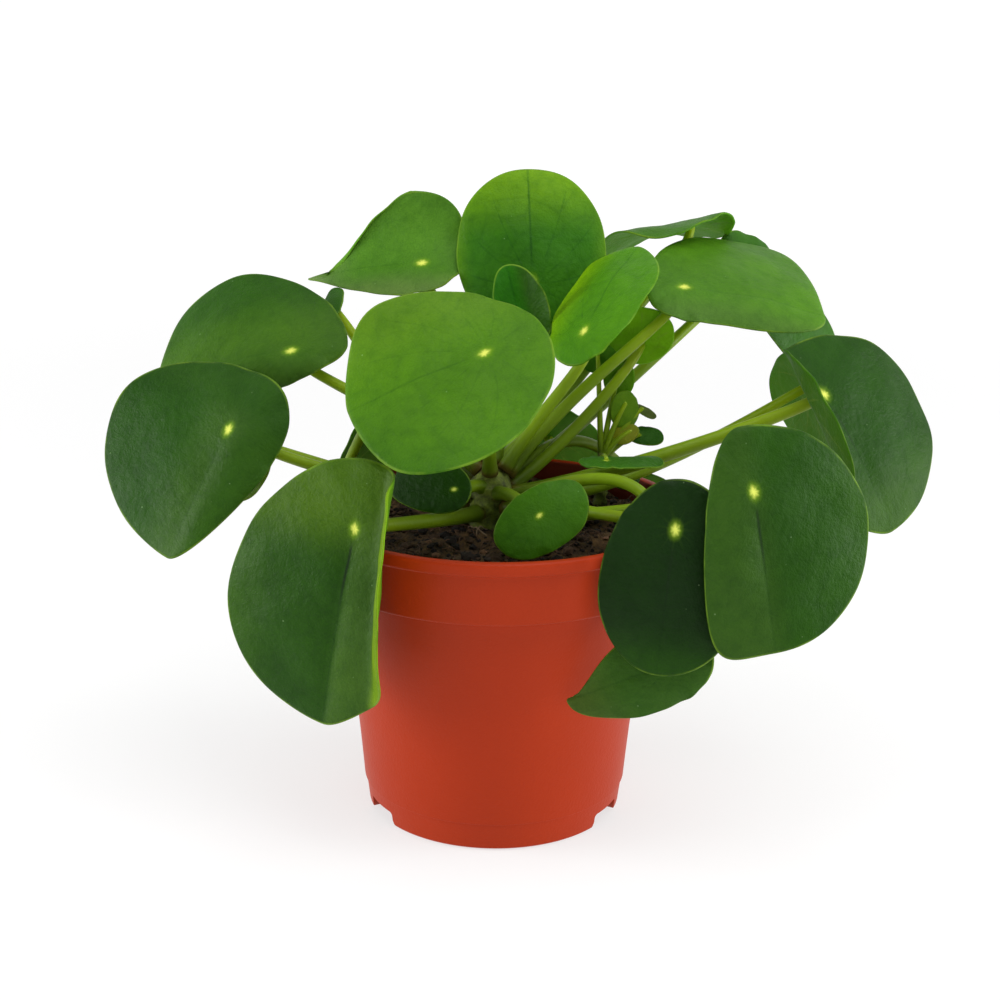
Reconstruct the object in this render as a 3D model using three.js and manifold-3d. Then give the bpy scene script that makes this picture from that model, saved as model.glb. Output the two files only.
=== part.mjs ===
// A potted pilea plant: a tapered plastic nursery pot full of soil, with a short trunk that
// carries round, shield-like leaves on long stalks, and a small offset plant at its side.
// Millimetres, +Z up. The plant is laid out round the pot's axis with the pot's foot at z = 0,
// and the whole is then shifted so that the origin lies under the middle of its box.

import * as THREE from 'three';
import { mergeVertices } from 'three/addons/utils/BufferGeometryUtils.js';
import Module from 'manifold-3d';

const wasm = await Module();
wasm.setup();

// Driving dimensions of the pot
const POT_HEIGHT = 100;
const RIM_RADIUS = 60;
const LIP_HEIGHT = 3.9;
const COLLAR_BOTTOM = 79.4;
const COLLAR_RADIUS = 57;
const BODY_TOP_RADIUS = 52.8;
const STEP_RISE = 3;
const BODY_BULGE = -1.3;
const FOOT_HEIGHT = 9;
const FOOT_RADIUS = 41.3;
const FOOT_STEP = 1.6;
const POT_WALL = 1.6;
const POT_SIDES = 48;
const WALL_HEIGHTS = [31, 55];
const EDGE_RISE = 0.6;
const COLLAR_DRAFT = 1.2;
const FOOT_DRAFT = 1.1;
const FOOT_NOTCHES = [61, 119, 241, 299];
const NOTCH_WIDTH = 14.5;
const NOTCH_HEIGHT = 4.5;
const NOTCH_FLARE = 1.8;
const NOTCH_DEPTH = 12;
const DRAIN_HOLES = 6;
const DRAIN_RADIUS = 4;
const DRAIN_CIRCLE = 27;
const DRAIN_SIDES = 12;

// Driving dimensions of what grows in it
const SEAT_GAP = 0.3;
const STALK_SEAT = 0.4;
const SOIL_TOP = 93;
const SOIL_BUMP = 1.6;
const SOIL_RINGS = [47, 38, 28, 18, 9, 0];
const TRUNK = { x: -2, y: 0, radius: 7, top: 112, depth: 24 };
const LEAF_THICKNESS = 1;
const SPOT_SHARE = 0.32;
const EGG = 0.08;
const STALK_ROOT_RADIUS = 2.2;
const STALK_TIP_RADIUS = 1.5;
const STALK_RISE = 102;
const STALK_ARCH = 8;
const STALK_REACH = 12;
const STALK_STEPS = 9;
const STALK_SIDES = 6;
const BOW_SHARE = 0.35;
const TRUNK_SIDES = 12;
const STEM_FOOT_SHARE = 0.75;
const STEM_TAPER_LENGTH = 4;
const STEM_SHOULDER = 0.7;
const STEM_CROWN = 0.25;
const STEM_CROWN_SHARE = 0.8;
const LARGE_LEAF = 40;
const LARGE_MESH = [10, 2, 5];
const SMALL_MESH = [8, 1, 3];
const OFFSET_STEM = { x: 34, y: 20, radius: 2.6, top: 112, depth: 14 };
const OFFSET_SIDES = 8;
const OFFSET_MESH = [6, 1, 3];
const OFFSET_STALK = { rootRadius: 1.1, tipRadius: 0.7, bow: 3, drop: 3, steps: 5, sides: 5 };
const OFFSET_SINK = 0.2;
const FOLD_WIDTH = 7;
const FOLD_FADE = 0.8;
const LEAST_WIDTH = 0.06;
const DEFAULT_BEND = [20, 12, 18, 18];
const DEFAULT_WAVE = [0.012, 0];
const WAVES_ROUND_MARGIN = 3;
const CURVE_STEPS = 20;

// Colours seen on the plant
const TERRACOTTA = 0xc1492b;
const SOIL_BROWN = 0x2b1d14;
const TRUNK_BROWN = 0x5b5a2a;
const DARK_GREEN = 0x1f4f1c;
const LEAF_GREEN = 0x2e6b1e;
const BRIGHT_GREEN = 0x3f7f1c;
const YOUNG_GREEN = 0x5f9f22;
const STALK_GREEN = 0x7f9a2a;

const DEGREE = Math.PI / 180;

// Each leaf: where its stalk meets the blade (spot), which way the upper side faces (face, as
// azimuth from the front towards +X and height above the horizon), how far the tip is turned
// clockwise from straight down the slope (turn), and its length and its left and right width (size).
// share is how far along its length the spot lies, and egg how far the widest place lies towards the
// tip on the left and right. bend gives how many degrees the tip, the base, the left and the right
// side curve down, fold the sharp crease of the left and right side from foldStart on, and foldSlant
// how that start moves out towards the tip. pinch is how much the left and right side narrow towards
// the tip, and wave the margin's waves: their height as a share of the length, and their phase. rise
// is how high the stalk leaves the trunk, arch how far it bows upwards, reach its bend under the
// blade, and hang how far above the spot it turns down to a blade that hangs over the rim.
const LEAVES = {
  far_left: { spot: [-83, -10, 126], face: [-22, 34], turn: 16, size: [64, 43, 17], share: 0.32,
    egg: [-0.12, -0.33], bend: [15, 10, 5, 45], pinch: [0, 0.2], rise: 103, arch: -8, reach: 20 },
  far_left_under: { spot: [-80.5, 12, 117], face: [-40, 25], turn: 10, size: [30, 12, 12], rise: 98,
    arch: -2 },
  upper_left: { spot: [-67, 20, 145], face: [-15, 50], turn: 76, size: [68, 37.5, 14.5], share: 0.27,
    egg: [0.2, 0.3], bend: [25, 10, 5, 75], pinch: [-0.1, 0], rise: 108, arch: 6 },
  low_left: { spot: [-41, -50, 107], face: [-15, 12], turn: 10, size: [83, 37.5, 30], share: 0.245,
    egg: [0.16, 0.04], pinch: [0.15, 0.5], fold: [0, -84], foldStart: 5.5, foldSlant: 0.1, rise: 98,
    arch: -2, girth: 1.15 },
  centre: { spot: [-4, -30, 155], face: [-8, 50], turn: 63.5, size: [63, 29.5, 35.5], share: 0.31,
    egg: [0.29, 0.1], bend: [17, 0, -9, -5], pinch: [0.57, -0.23], tone: BRIGHT_GREEN },
  back_left: { spot: [-26, 50, 169], face: [-15, 50], turn: 86, size: [56.5, 25, 13.5], share: 0.24,
    egg: [-0.4, -0.28], bend: [23, 10, -55, -4], pinch: [1.55, 0.7] },
  crest: { spot: [11, 40, 164.7], face: [0, 15], turn: 177, size: [60, 25, 25], share: 0.35, arch: -25,
    reach: 25, tone: BRIGHT_GREEN },
  crest_young: { spot: [7, 20.9, 155], face: [0, 10], turn: 165, size: [27, 11, 7.5], egg: [-0.22, 0],
    bend: [0, 0, -45, -45] },
  bright: { spot: [26.5, 0, 156], face: [-54, 46], turn: 160, size: [54, 17, 21.5], share: 0.23,
    egg: [0.15, 0.45], pinch: [0.5, -0.55], tone: YOUNG_GREEN },
  upper_right: { spot: [60, 30, 165], face: [10, 66], turn: -83, size: [61.5, 14.5, 46], share: 0.2,
    egg: [-0.3, 0.4], bend: [20, 10, 40, 15], pinch: [-0.35, 0], arch: 12 },
  back_right_thin: { spot: [66, 75, 180], face: [200, 73], turn: -80, size: [48, 20, 20],
    wave: [0.052, 20] },
  back_right: { spot: [90, 77, 165.8], face: [32, 35], turn: -34, size: [60, 16.5, 13.5], share: 0.25,
    egg: [-0.08, -0.03], pinch: [-0.5, 0], arch: -4 },
  far_right: { spot: [102, 0, 137], face: [27, 36], turn: -18, size: [66.5, 23, 40], share: 0.28,
    egg: [0.19, -0.11], bend: [20, 12, 0, 18], pinch: [0.53, 0], fold: [-72, 0], foldStart: 3.2,
    foldSlant: 0.2, arch: -6, girth: 1.2 },
  far_right_under: { spot: [104, 38, 131], face: [110, 20], turn: -16, size: [38, 22, 20], arch: -20 },
  front_right: { spot: [72, -62, 123], face: [12, 15], turn: -8.5, size: [66, 18.5, 34], share: 0.28,
    egg: [0.58, 0], bend: [15, 12, 35, 12], rise: 98, arch: -8 },
  inner_right: { spot: [51, -57, 110], face: [-8, 15], turn: 5, size: [58, 20, 22], share: 0.25, rise: 98,
    arch: 6, tone: DARK_GREEN },
  low_right: { spot: [52, -55, 69], face: [-10, 15], turn: 64.5, size: [46, 10.6, 13], share: 0.26,
    egg: [-0.08, -0.15], bend: [12, 0, 1, 28], pinch: [1.2, 0.08], arch: 16, hang: 80, reach: 18 },
  front_small: { spot: [12.7, -38, 108], face: [0, 25], turn: 55, size: [31, 8.5, 11], share: 0.5,
    egg: [0.07, -0.16], pinch: [0.18, -0.29] },
  left_small: { spot: [-13, -21, 110.8], face: [-10, 28], turn: 86, size: [25.5, 11.5, 7], share: 0.2,
    egg: [0.25, -0.25], pinch: [-0.15, 0.2], tone: DARK_GREEN },
  back_left_young: { spot: [-56, 45.5, 154.4], face: [-40, 40], turn: 150, size: [14, 4, 4], rise: 104,
    arch: -14 },
  behind_bright: { spot: [47, 37.3, 144.8], face: [175, 12], turn: 179, size: [21, 12, 11], arch: -10,
    tone: YOUNG_GREEN },
  centre_young: { spot: [11, 24, 120], face: [170, 20], turn: 180, size: [15, 5, 4], rise: 106 },
  rear_left: { spot: [-36, 52, 110], face: [205, 25], turn: 0, size: [42, 20, 20], tone: DARK_GREEN },
  rear_mid: { spot: [18, 66, 105], face: [188, 25], turn: 6, size: [46, 20, 20] },
  rear_low_left: { spot: [-62, 41, 79], face: [232, 18], turn: 0, size: [50, 23, 23],
    bend: [20, 0, 18, 18], rise: 98, arch: 80, reach: 8, hang: 54 },
  rear_low_right: { spot: [59, 63, 77], face: [140, 18], turn: 0, size: [54, 25, 25],
    bend: [20, 0, 18, 18], rise: 98, arch: 38, reach: 18, hang: 46 },
};

// The leaves of the offset plant, in the same terms
const OFFSET_LEAVES = [
  { spot: [32.3, 28, 144.5], face: [165, 20], turn: 0, size: [12, 7, 6] },
  { spot: [40, 33, 137], face: [180, 10], turn: 0, size: [14, 5, 5] },
  { spot: [41.8, 25, 127.5], face: [20, 12], turn: 0, size: [12.5, 5, 5] },
  { spot: [43.5, 23, 118.5], face: [0, 40], turn: 60, size: [9, 4, 3] },
  { spot: [47.5, 28, 125], face: [10, 30], turn: -60, size: [8, 1.6, 1.2] },
  { spot: [47, 28, 116], face: [0, 40], turn: -88, size: [12, 3.2, 3.6] },
  { spot: [34, -8, 117], face: [15, 86], turn: -85, size: [27, 6, 6], bend: [6, 6, 18, 18] },
  { spot: [43, 26, 103.5], face: [20, 15], turn: 0, size: [8, 5, 5] },
];

const smooth = (x) => {
  const t = Math.min(Math.max(x, 0), 1);
  return t * t * (3 - 2 * t);
};

// Walks out from the midrib over a blade that curves and creases as it goes
function walk(distance, halfWidth, bend, fold = 0, foldStart = 0) {
  const stride = distance / CURVE_STEPS;
  let out = 0;
  let drop = 0;
  let turn = 0;
  for (let i = 0; i < CURVE_STEPS; i += 1) {
    const s = (i + 0.5) * stride;
    turn = (bend * s / halfWidth + fold * smooth((s - foldStart) / FOLD_WIDTH)) * DEGREE;
    out += Math.cos(turn) * stride;
    drop += Math.sin(turn) * stride;
  }
  return { out, drop, turn };
}

// The blade's own axes: towards the tip, to the right of it, and out of the upper side
function leafAxes(leaf) {
  const [azimuth, height] = leaf.face.map((angle) => angle * DEGREE);
  const turn = leaf.turn * DEGREE;
  const normal = new THREE.Vector3(
    Math.sin(azimuth) * Math.cos(height), -Math.cos(azimuth) * Math.cos(height), Math.sin(height));
  const down = new THREE.Vector3(
    Math.sin(azimuth) * Math.sin(height), -Math.cos(azimuth) * Math.sin(height), -Math.cos(height));
  const up = down.clone().negate();
  const left = down.clone().cross(normal);
  const tip = down.multiplyScalar(Math.cos(turn)).addScaledVector(left, Math.sin(turn));
  const right = normal.clone().cross(tip);
  return { tip, right, normal, up };
}

// A point of the blade's middle surface: across runs from -1 at the left margin to 1 at the right,
// and along from -1 at the base to 1 at the tip of the line that crosses the blade there
function leafPoint(leaf, axes, across, along) {
  const length = leaf.size[0];
  const { share = SPOT_SHARE, egg = [EGG, EGG], bend = DEFAULT_BEND, fold = [0, 0], pinch = [0, 0] } = leaf;
  const side = across > 0 ? 1 : 0;
  const chord = Math.sqrt(Math.max(0, 1 - across * across)) * along;
  const forward = length * (0.5 - share + (chord + egg[side] * across * across) / 2);
  const towardsTip = Math.max(0, chord) ** 2;
  const halfWidth = leaf.size[1 + side] * Math.max(LEAST_WIDTH, 1 - pinch[side] * towardsTip);
  const crease = fold[side] * (1 - FOLD_FADE * towardsTip);
  const foldStart = (leaf.foldStart ?? 0) + (leaf.foldSlant ?? 0) * forward;
  const end = forward > 0
    ? walk(forward, length * (1 - share), bend[0])
    : walk(-forward, length * share, bend[1]);
  const out = walk(Math.abs(across) * halfWidth, halfWidth, bend[2 + side], crease, foldStart);
  const [waveHeight, wavePhase] = leaf.wave ?? DEFAULT_WAVE;
  const round = Math.atan2(across, chord);
  const ripple = waveHeight * length * (across * across + chord * chord)
    * Math.sin(WAVES_ROUND_MARGIN * round + wavePhase * DEGREE);
  const tipShift = Math.sign(forward) * (end.out - out.drop * Math.sin(end.turn));
  const rise = ripple - out.drop * Math.cos(end.turn) - end.drop;
  return new THREE.Vector3(...leaf.spot)
    .addScaledVector(axes.tip, tipShift)
    .addScaledVector(axes.right, Math.sign(across) * out.out)
    .addScaledVector(axes.normal, rise);
}

function geometryFrom(points, triangles) {
  const geometry = new THREE.BufferGeometry();
  const numbers = points.flatMap((p) => [p.x, p.y, p.z]);
  geometry.setAttribute('position', new THREE.Float32BufferAttribute(numbers, 3));
  geometry.setIndex(triangles.flat());
  return geometry;
}

// Where the rows of a blade's mesh lie along each line: one row passes through the spot
function rowPlaces(leaf, baseRows, tipRows) {
  const spot = 2 * (leaf.share ?? SPOT_SHARE) - 1;
  const places = [];
  for (let row = 0; row < baseRows; row += 1) {
    places.push(-1 + (spot + 1) * row / baseRows);
  }
  for (let row = 0; row <= tipRows; row += 1) {
    places.push(spot + (1 - spot) * row / tipRows);
  }
  return places;
}

// A blade: the same triangles on its upper and lower face, joined round the margin
function leafBlade(leaf, columns, baseRows, tipRows) {
  const axes = leafAxes(leaf);
  const places = rowPlaces(leaf, baseRows, tipRows);
  const rows = places.length;
  const middle = [leafPoint(leaf, axes, -1, 0)];
  for (let column = 1; column < columns; column += 1) {
    const across = -Math.cos(Math.PI * column / columns);
    for (const place of places) {
      middle.push(leafPoint(leaf, axes, across, place));
    }
  }
  middle.push(leafPoint(leaf, axes, 1, 0));
  const at = (column, row) => (column === 0 ? 0 : Math.min(1 + (column - 1) * rows + row, middle.length - 1));
  const last = middle.length - 1;
  const face = [];
  for (let row = 0; row < rows - 1; row += 1) {
    face.push([0, at(1, row), at(1, row + 1)]);
    face.push([last, at(columns - 1, row + 1), at(columns - 1, row)]);
    for (let column = 1; column < columns - 1; column += 1) {
      face.push([at(column, row), at(column + 1, row), at(column + 1, row + 1)]);
      face.push([at(column, row), at(column + 1, row + 1), at(column, row + 1)]);
    }
  }
  const margin = [0];
  for (let column = 1; column < columns; column += 1) {
    margin.push(at(column, 0));
  }
  margin.push(last);
  for (let column = columns - 1; column > 0; column -= 1) {
    margin.push(at(column, rows - 1));
  }
  const sheet = geometryFrom(middle, face);
  sheet.computeVertexNormals();
  const normals = sheet.getAttribute('normal');
  const shifted = (point, index, way) => point.clone()
    .addScaledVector(new THREE.Vector3().fromBufferAttribute(normals, index), way * LEAF_THICKNESS / 2);
  const upper = middle.map((point, index) => shifted(point, index, 1));
  const lower = middle.map((point, index) => shifted(point, index, -1));
  const count = middle.length;
  const underside = face.map(([a, b, c]) => [a + count, c + count, b + count]);
  const edge = margin.flatMap((here, index) => {
    const next = margin[(index + 1) % margin.length];
    return [[here, here + count, next + count], [here, next + count, next]];
  });
  return geometryFrom([...upper, ...lower], [...face, ...underside, ...edge]);
}

// A round stalk of changing radius along a curve, closed at both ends
function taperedTube(curve, rootRadius, tipRadius, steps, sides) {
  const frames = curve.computeFrenetFrames(steps, false);
  const points = [];
  const triangles = [];
  for (let step = 0; step <= steps; step += 1) {
    const centre = curve.getPointAt(step / steps);
    const radius = rootRadius + (tipRadius - rootRadius) * step / steps;
    for (let side = 0; side < sides; side += 1) {
      const angle = 2 * Math.PI * side / sides;
      points.push(centre.clone()
        .addScaledVector(frames.normals[step], radius * Math.cos(angle))
        .addScaledVector(frames.binormals[step], radius * Math.sin(angle)));
    }
  }
  const at = (step, side) => step * sides + side % sides;
  for (let step = 0; step < steps; step += 1) {
    for (let side = 0; side < sides; side += 1) {
      triangles.push([at(step, side), at(step, side + 1), at(step + 1, side + 1)]);
      triangles.push([at(step, side), at(step + 1, side + 1), at(step + 1, side)]);
    }
  }
  for (let side = 1; side < sides - 1; side += 1) {
    triangles.push([at(0, 0), at(0, side + 1), at(0, side)]);
    triangles.push([at(steps, 0), at(steps, side), at(steps, side + 1)]);
  }
  return geometryFrom(points, triangles);
}

// A leaf's stalk, from the trunk's axis to just under the spot; a stalk that meets the blade at a
// slant ends a little further off, so that its end clears the blade
function stalkCurve(leaf) {
  const { normal, up } = leafAxes(leaf);
  const top = new THREE.Vector3(...leaf.spot).addScaledVector(normal, -(LEAF_THICKNESS / 2 + STALK_SEAT));
  const reach = top.clone().addScaledVector(normal, -(leaf.reach ?? STALK_REACH));
  reach.addScaledVector(up, leaf.hang ?? 0);
  const slant = top.clone().sub(reach).normalize().cross(normal).length();
  top.addScaledVector(normal, -slant * STALK_TIP_RADIUS);
  const root = new THREE.Vector3(TRUNK.x, TRUNK.y, leaf.rise ?? STALK_RISE);
  const rising = root.clone().lerp(top, BOW_SHARE);
  rising.z += leaf.arch ?? STALK_ARCH;
  return new THREE.CubicBezierCurve3(root, rising, reach, top);
}

function solidOf(geometry) {
  const bare = geometry.clone();
  bare.deleteAttribute('normal');
  bare.deleteAttribute('uv');
  const merged = mergeVertices(bare.index ? bare.toNonIndexed() : bare, 1e-4);
  return new wasm.Manifold(new wasm.Mesh({
    numProp: 3,
    vertProperties: new Float32Array(merged.getAttribute('position').array),
    triVerts: new Uint32Array(merged.index.array),
  }));
}

function geometryOf(solid) {
  const mesh = solid.getMesh();
  const geometry = new THREE.BufferGeometry();
  geometry.setAttribute('position', new THREE.BufferAttribute(new Float32Array(mesh.vertProperties), 3));
  geometry.setIndex(new THREE.BufferAttribute(new Uint32Array(mesh.triVerts), 1));
  return geometry;
}

// A closed solid of revolution about the pot's axis, from [radius, height] pairs
function turned(profile, sides) {
  const lathe = new THREE.LatheGeometry(profile.map(([radius, z]) => new THREE.Vector2(radius, z)), sides);
  lathe.rotateX(Math.PI / 2);
  return solidOf(lathe);
}

function bodyRadius(z) {
  const share = (z - FOOT_HEIGHT) / (COLLAR_BOTTOM - FOOT_HEIGHT);
  const straight = FOOT_RADIUS + FOOT_STEP + (BODY_TOP_RADIUS - FOOT_RADIUS - FOOT_STEP) * share;
  return straight + BODY_BULGE * Math.sin(Math.PI * share);
}

function potSolid() {
  const floorTop = FOOT_HEIGHT + POT_WALL;
  const footInside = FOOT_RADIUS - 2 * POT_WALL;
  const outside = [[0, FOOT_HEIGHT], [footInside, FOOT_HEIGHT], [footInside, 0], [FOOT_RADIUS, 0],
    [FOOT_RADIUS + FOOT_DRAFT, FOOT_HEIGHT]];
  const inside = [];
  for (const z of [FOOT_HEIGHT, ...WALL_HEIGHTS, COLLAR_BOTTOM]) {
    outside.push([bodyRadius(z), z]);
  }
  const lipBottom = POT_HEIGHT - LIP_HEIGHT;
  outside.push([COLLAR_RADIUS, COLLAR_BOTTOM + EDGE_RISE],
    [COLLAR_RADIUS + COLLAR_DRAFT, lipBottom - EDGE_RISE], [RIM_RADIUS, lipBottom], [RIM_RADIUS, POT_HEIGHT]);
  inside.push([RIM_RADIUS - 2 * POT_WALL, POT_HEIGHT], [COLLAR_RADIUS - POT_WALL, COLLAR_BOTTOM + STEP_RISE]);
  for (const z of [COLLAR_BOTTOM, ...WALL_HEIGHTS.toReversed(), floorTop]) {
    inside.push([bodyRadius(z) - POT_WALL, z]);
  }
  inside.push([0, floorTop]);
  let pot = turned([...outside, ...inside], POT_SIDES);
  for (const degrees of FOOT_NOTCHES) {
    const half = NOTCH_WIDTH / 2;
    const corners = [[-half - NOTCH_FLARE, -1], [half + NOTCH_FLARE, -1], [half, NOTCH_FLARE],
      [half, NOTCH_HEIGHT], [-half, NOTCH_HEIGHT], [-half, NOTCH_FLARE]];
    const outline = new THREE.Shape(corners.map(([x, y]) => new THREE.Vector2(x, y)));
    const cutter = new THREE.ExtrudeGeometry(outline, { depth: NOTCH_DEPTH, bevelEnabled: false });
    cutter.rotateX(Math.PI / 2);
    cutter.translate(0, -FOOT_RADIUS + NOTCH_DEPTH / 2, 0);
    cutter.rotateZ(degrees * DEGREE);
    pot = pot.subtract(solidOf(cutter));
  }
  for (let hole = 0; hole < DRAIN_HOLES; hole += 1) {
    const drill = new THREE.CylinderGeometry(DRAIN_RADIUS, DRAIN_RADIUS, 3 * POT_WALL, DRAIN_SIDES);
    drill.rotateX(Math.PI / 2);
    drill.translate(DRAIN_CIRCLE, 0, FOOT_HEIGHT + POT_WALL / 2);
    drill.rotateZ(2 * Math.PI * hole / DRAIN_HOLES);
    pot = pot.subtract(solidOf(drill));
  }
  return pot;
}

// How high the soil stands over its mean level: a few broad lumps
function soilLump(x, y) {
  return SOIL_BUMP * (Math.sin(x * 0.31 + 1) * Math.cos(y * 0.27) + 0.6 * Math.sin(x * 0.13 - y * 0.22));
}

// The soil: it fills the pot to a little under the rim, with a lumpy top and a hole for each stem
function soilSolid(stemHoles) {
  const floor = FOOT_HEIGHT + POT_WALL + SEAT_GAP;
  const sides = [[0, floor]];
  for (const z of [floor, ...WALL_HEIGHTS, COLLAR_BOTTOM]) {
    sides.push([bodyRadius(z) - POT_WALL - SEAT_GAP, z]);
  }
  sides[sides.length - 1][1] += SEAT_GAP;
  const edge = COLLAR_RADIUS - POT_WALL - SEAT_GAP;
  sides.push([edge, COLLAR_BOTTOM + STEP_RISE + 2 * SEAT_GAP]);
  for (const radius of [edge, ...SOIL_RINGS]) {
    sides.push([radius, SOIL_TOP]);
  }
  const lathe = new THREE.LatheGeometry(sides.map(([radius, z]) => new THREE.Vector2(radius, z)), POT_SIDES);
  lathe.rotateX(Math.PI / 2);
  const position = lathe.getAttribute('position');
  for (let i = 0; i < position.count; i += 1) {
    if (position.getZ(i) > SOIL_TOP - 0.01) {
      position.setZ(i, SOIL_TOP + soilLump(position.getX(i), position.getY(i)));
    }
  }
  let soil = solidOf(lathe);
  for (const hole of stemHoles) {
    soil = soil.subtract(hole);
  }
  return soil;
}

// A short stem of rings, standing at x and y; extra widens it for the hole that it stands in
function stemSolid(stem, extra, sides) {
  const bottom = SOIL_TOP - stem.depth;
  const radius = stem.radius + extra;
  const profile = [[0, bottom - extra], [STEM_FOOT_SHARE * radius, bottom - extra],
    [radius, SOIL_TOP - STEM_TAPER_LENGTH], [radius, stem.top - STEM_SHOULDER * stem.radius],
    [STEM_CROWN_SHARE * radius, stem.top - STEM_CROWN * stem.radius + extra], [0, stem.top + extra]];
  return turned(profile, sides).translate([stem.x, stem.y, 0]);
}

// The stalks are laid from the trunk outwards: each is cut clear of the trunk and of those before it
function stalkSolids() {
  let taken = stemSolid(TRUNK, SEAT_GAP, TRUNK_SIDES);
  const stalks = {};
  for (const [name, leaf] of Object.entries(LEAVES)) {
    const curve = stalkCurve(leaf);
    const girth = leaf.girth ?? 1;
    const root = girth * STALK_ROOT_RADIUS;
    const tip = girth * STALK_TIP_RADIUS;
    const whole = solidOf(taperedTube(curve, root, tip, STALK_STEPS, STALK_SIDES)).subtract(taken);
    stalks[name] = whole.decompose().sort((a, b) => b.volume() - a.volume())[0];
    taken = taken.add(solidOf(taperedTube(curve, root + SEAT_GAP, tip + SEAT_GAP, STALK_STEPS, STALK_SIDES)));
  }
  return stalks;
}

// A young plant beside the trunk: its own stem with thin stalks and small round leaves, one body
function offsetPlant() {
  const { rootRadius, tipRadius, steps, sides } = OFFSET_STALK;
  let body = stemSolid(OFFSET_STEM, 0, OFFSET_SIDES);
  for (const leaf of OFFSET_LEAVES) {
    const { normal } = leafAxes(leaf);
    const top = new THREE.Vector3(...leaf.spot).addScaledVector(normal, OFFSET_SINK);
    const root = new THREE.Vector3(OFFSET_STEM.x, OFFSET_STEM.y, OFFSET_STEM.top - OFFSET_STALK.drop);
    const bow = root.clone().lerp(top, 0.5);
    bow.z += OFFSET_STALK.bow;
    const curve = new THREE.QuadraticBezierCurve3(root, bow, top);
    body = body.add(solidOf(taperedTube(curve, rootRadius, tipRadius, steps, sides)));
    body = body.add(solidOf(leafBlade(leaf, ...OFFSET_MESH)));
  }
  return body;
}

const plant = new THREE.Group();

function addPiece(name, geometry, colour, roughness) {
  const material = new THREE.MeshStandardMaterial({ color: colour, roughness, metalness: 0 });
  const mesh = new THREE.Mesh(geometry, material);
  mesh.name = name;
  plant.add(mesh);
}

const trunkHole = stemSolid(TRUNK, SEAT_GAP, TRUNK_SIDES);
const offsetHole = stemSolid(OFFSET_STEM, SEAT_GAP, OFFSET_SIDES);
addPiece('pot', geometryOf(potSolid()), TERRACOTTA, 0.45);
addPiece('soil', geometryOf(soilSolid([trunkHole, offsetHole])), SOIL_BROWN, 0.95);
addPiece('trunk', geometryOf(stemSolid(TRUNK, 0, TRUNK_SIDES)), TRUNK_BROWN, 0.7);
addPiece('offset_plant', geometryOf(offsetPlant()), YOUNG_GREEN, 0.45);
for (const [name, stalk] of Object.entries(stalkSolids())) {
  addPiece(`stalk_${name}`, geometryOf(stalk), STALK_GREEN, 0.4);
}
for (const [name, leaf] of Object.entries(LEAVES)) {
  const mesh = leaf.size[0] > LARGE_LEAF ? LARGE_MESH : SMALL_MESH;
  addPiece(`blade_${name}`, leafBlade(leaf, ...mesh), leaf.tone ?? LEAF_GREEN, 0.35);
}

// The origin goes under the middle of the whole plant's box
const box = new THREE.Box3().setFromObject(plant);
plant.position.set(-(box.min.x + box.max.x) / 2, -(box.min.y + box.max.y) / 2, -box.min.z);
const group = new THREE.Group();
group.add(plant);

export default group;
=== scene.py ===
import math
import random
from dataclasses import dataclass
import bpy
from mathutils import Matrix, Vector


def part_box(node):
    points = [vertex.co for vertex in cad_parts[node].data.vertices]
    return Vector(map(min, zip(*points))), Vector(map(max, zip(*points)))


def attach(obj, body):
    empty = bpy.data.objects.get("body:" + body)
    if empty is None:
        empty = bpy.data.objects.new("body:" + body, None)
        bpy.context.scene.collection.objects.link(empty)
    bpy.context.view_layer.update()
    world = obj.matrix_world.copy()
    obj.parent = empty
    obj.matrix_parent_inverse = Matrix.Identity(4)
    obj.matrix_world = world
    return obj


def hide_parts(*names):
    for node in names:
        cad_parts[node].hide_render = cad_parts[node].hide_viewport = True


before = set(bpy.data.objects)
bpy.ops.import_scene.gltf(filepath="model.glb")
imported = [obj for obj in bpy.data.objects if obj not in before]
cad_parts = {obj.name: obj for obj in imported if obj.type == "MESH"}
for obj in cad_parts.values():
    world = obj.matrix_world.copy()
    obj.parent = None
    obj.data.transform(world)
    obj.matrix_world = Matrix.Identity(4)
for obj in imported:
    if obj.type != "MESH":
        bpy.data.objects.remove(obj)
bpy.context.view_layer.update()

from types import SimpleNamespace

import bmesh
import bpy
import numpy as np
from mathutils import Matrix, Vector

# The potted pilea. Sizes are in millimetres round the pot's axis with the pot's foot at z = 0, as in
# the part's source, and at_frame() turns them into metres in the shared frame.

MM = 0.001
POT_LOW, POT_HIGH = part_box("pot")
AXIS = np.array([(POT_LOW[0] + POT_HIGH[0]) / 2, (POT_LOW[1] + POT_HIGH[1]) / 2, 0.0])
DEGREE = math.pi / 180

# Driving dimensions of the pot, repeated from the part
POT_HEIGHT = 100
RIM_RADIUS = 60
LIP_HEIGHT = 3.9
COLLAR_BOTTOM = 79.4
COLLAR_RADIUS = 57
BODY_TOP_RADIUS = 52.8
STEP_RISE = 3
BODY_BULGE = -1.3
FOOT_HEIGHT = 9
FOOT_RADIUS = 41.3
FOOT_STEP = 1.6
POT_WALL = 1.6
FOOT_DRAFT = 1.1
COLLAR_DRAFT = 1.2
EDGE_EASE = 0.6
FOOT_NOTCHES = [61, 119, 241, 299]
NOTCH_WIDTH = 14.5
NOTCH_HEIGHT = 4.5
NOTCH_FLARE = 1.8
NOTCH_CORNER = 1.2
NOTCH_REACH = 6
DRAIN_HOLES = 6
DRAIN_RADIUS = 4
DRAIN_CIRCLE = 27
POT_SIDES = 192

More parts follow.
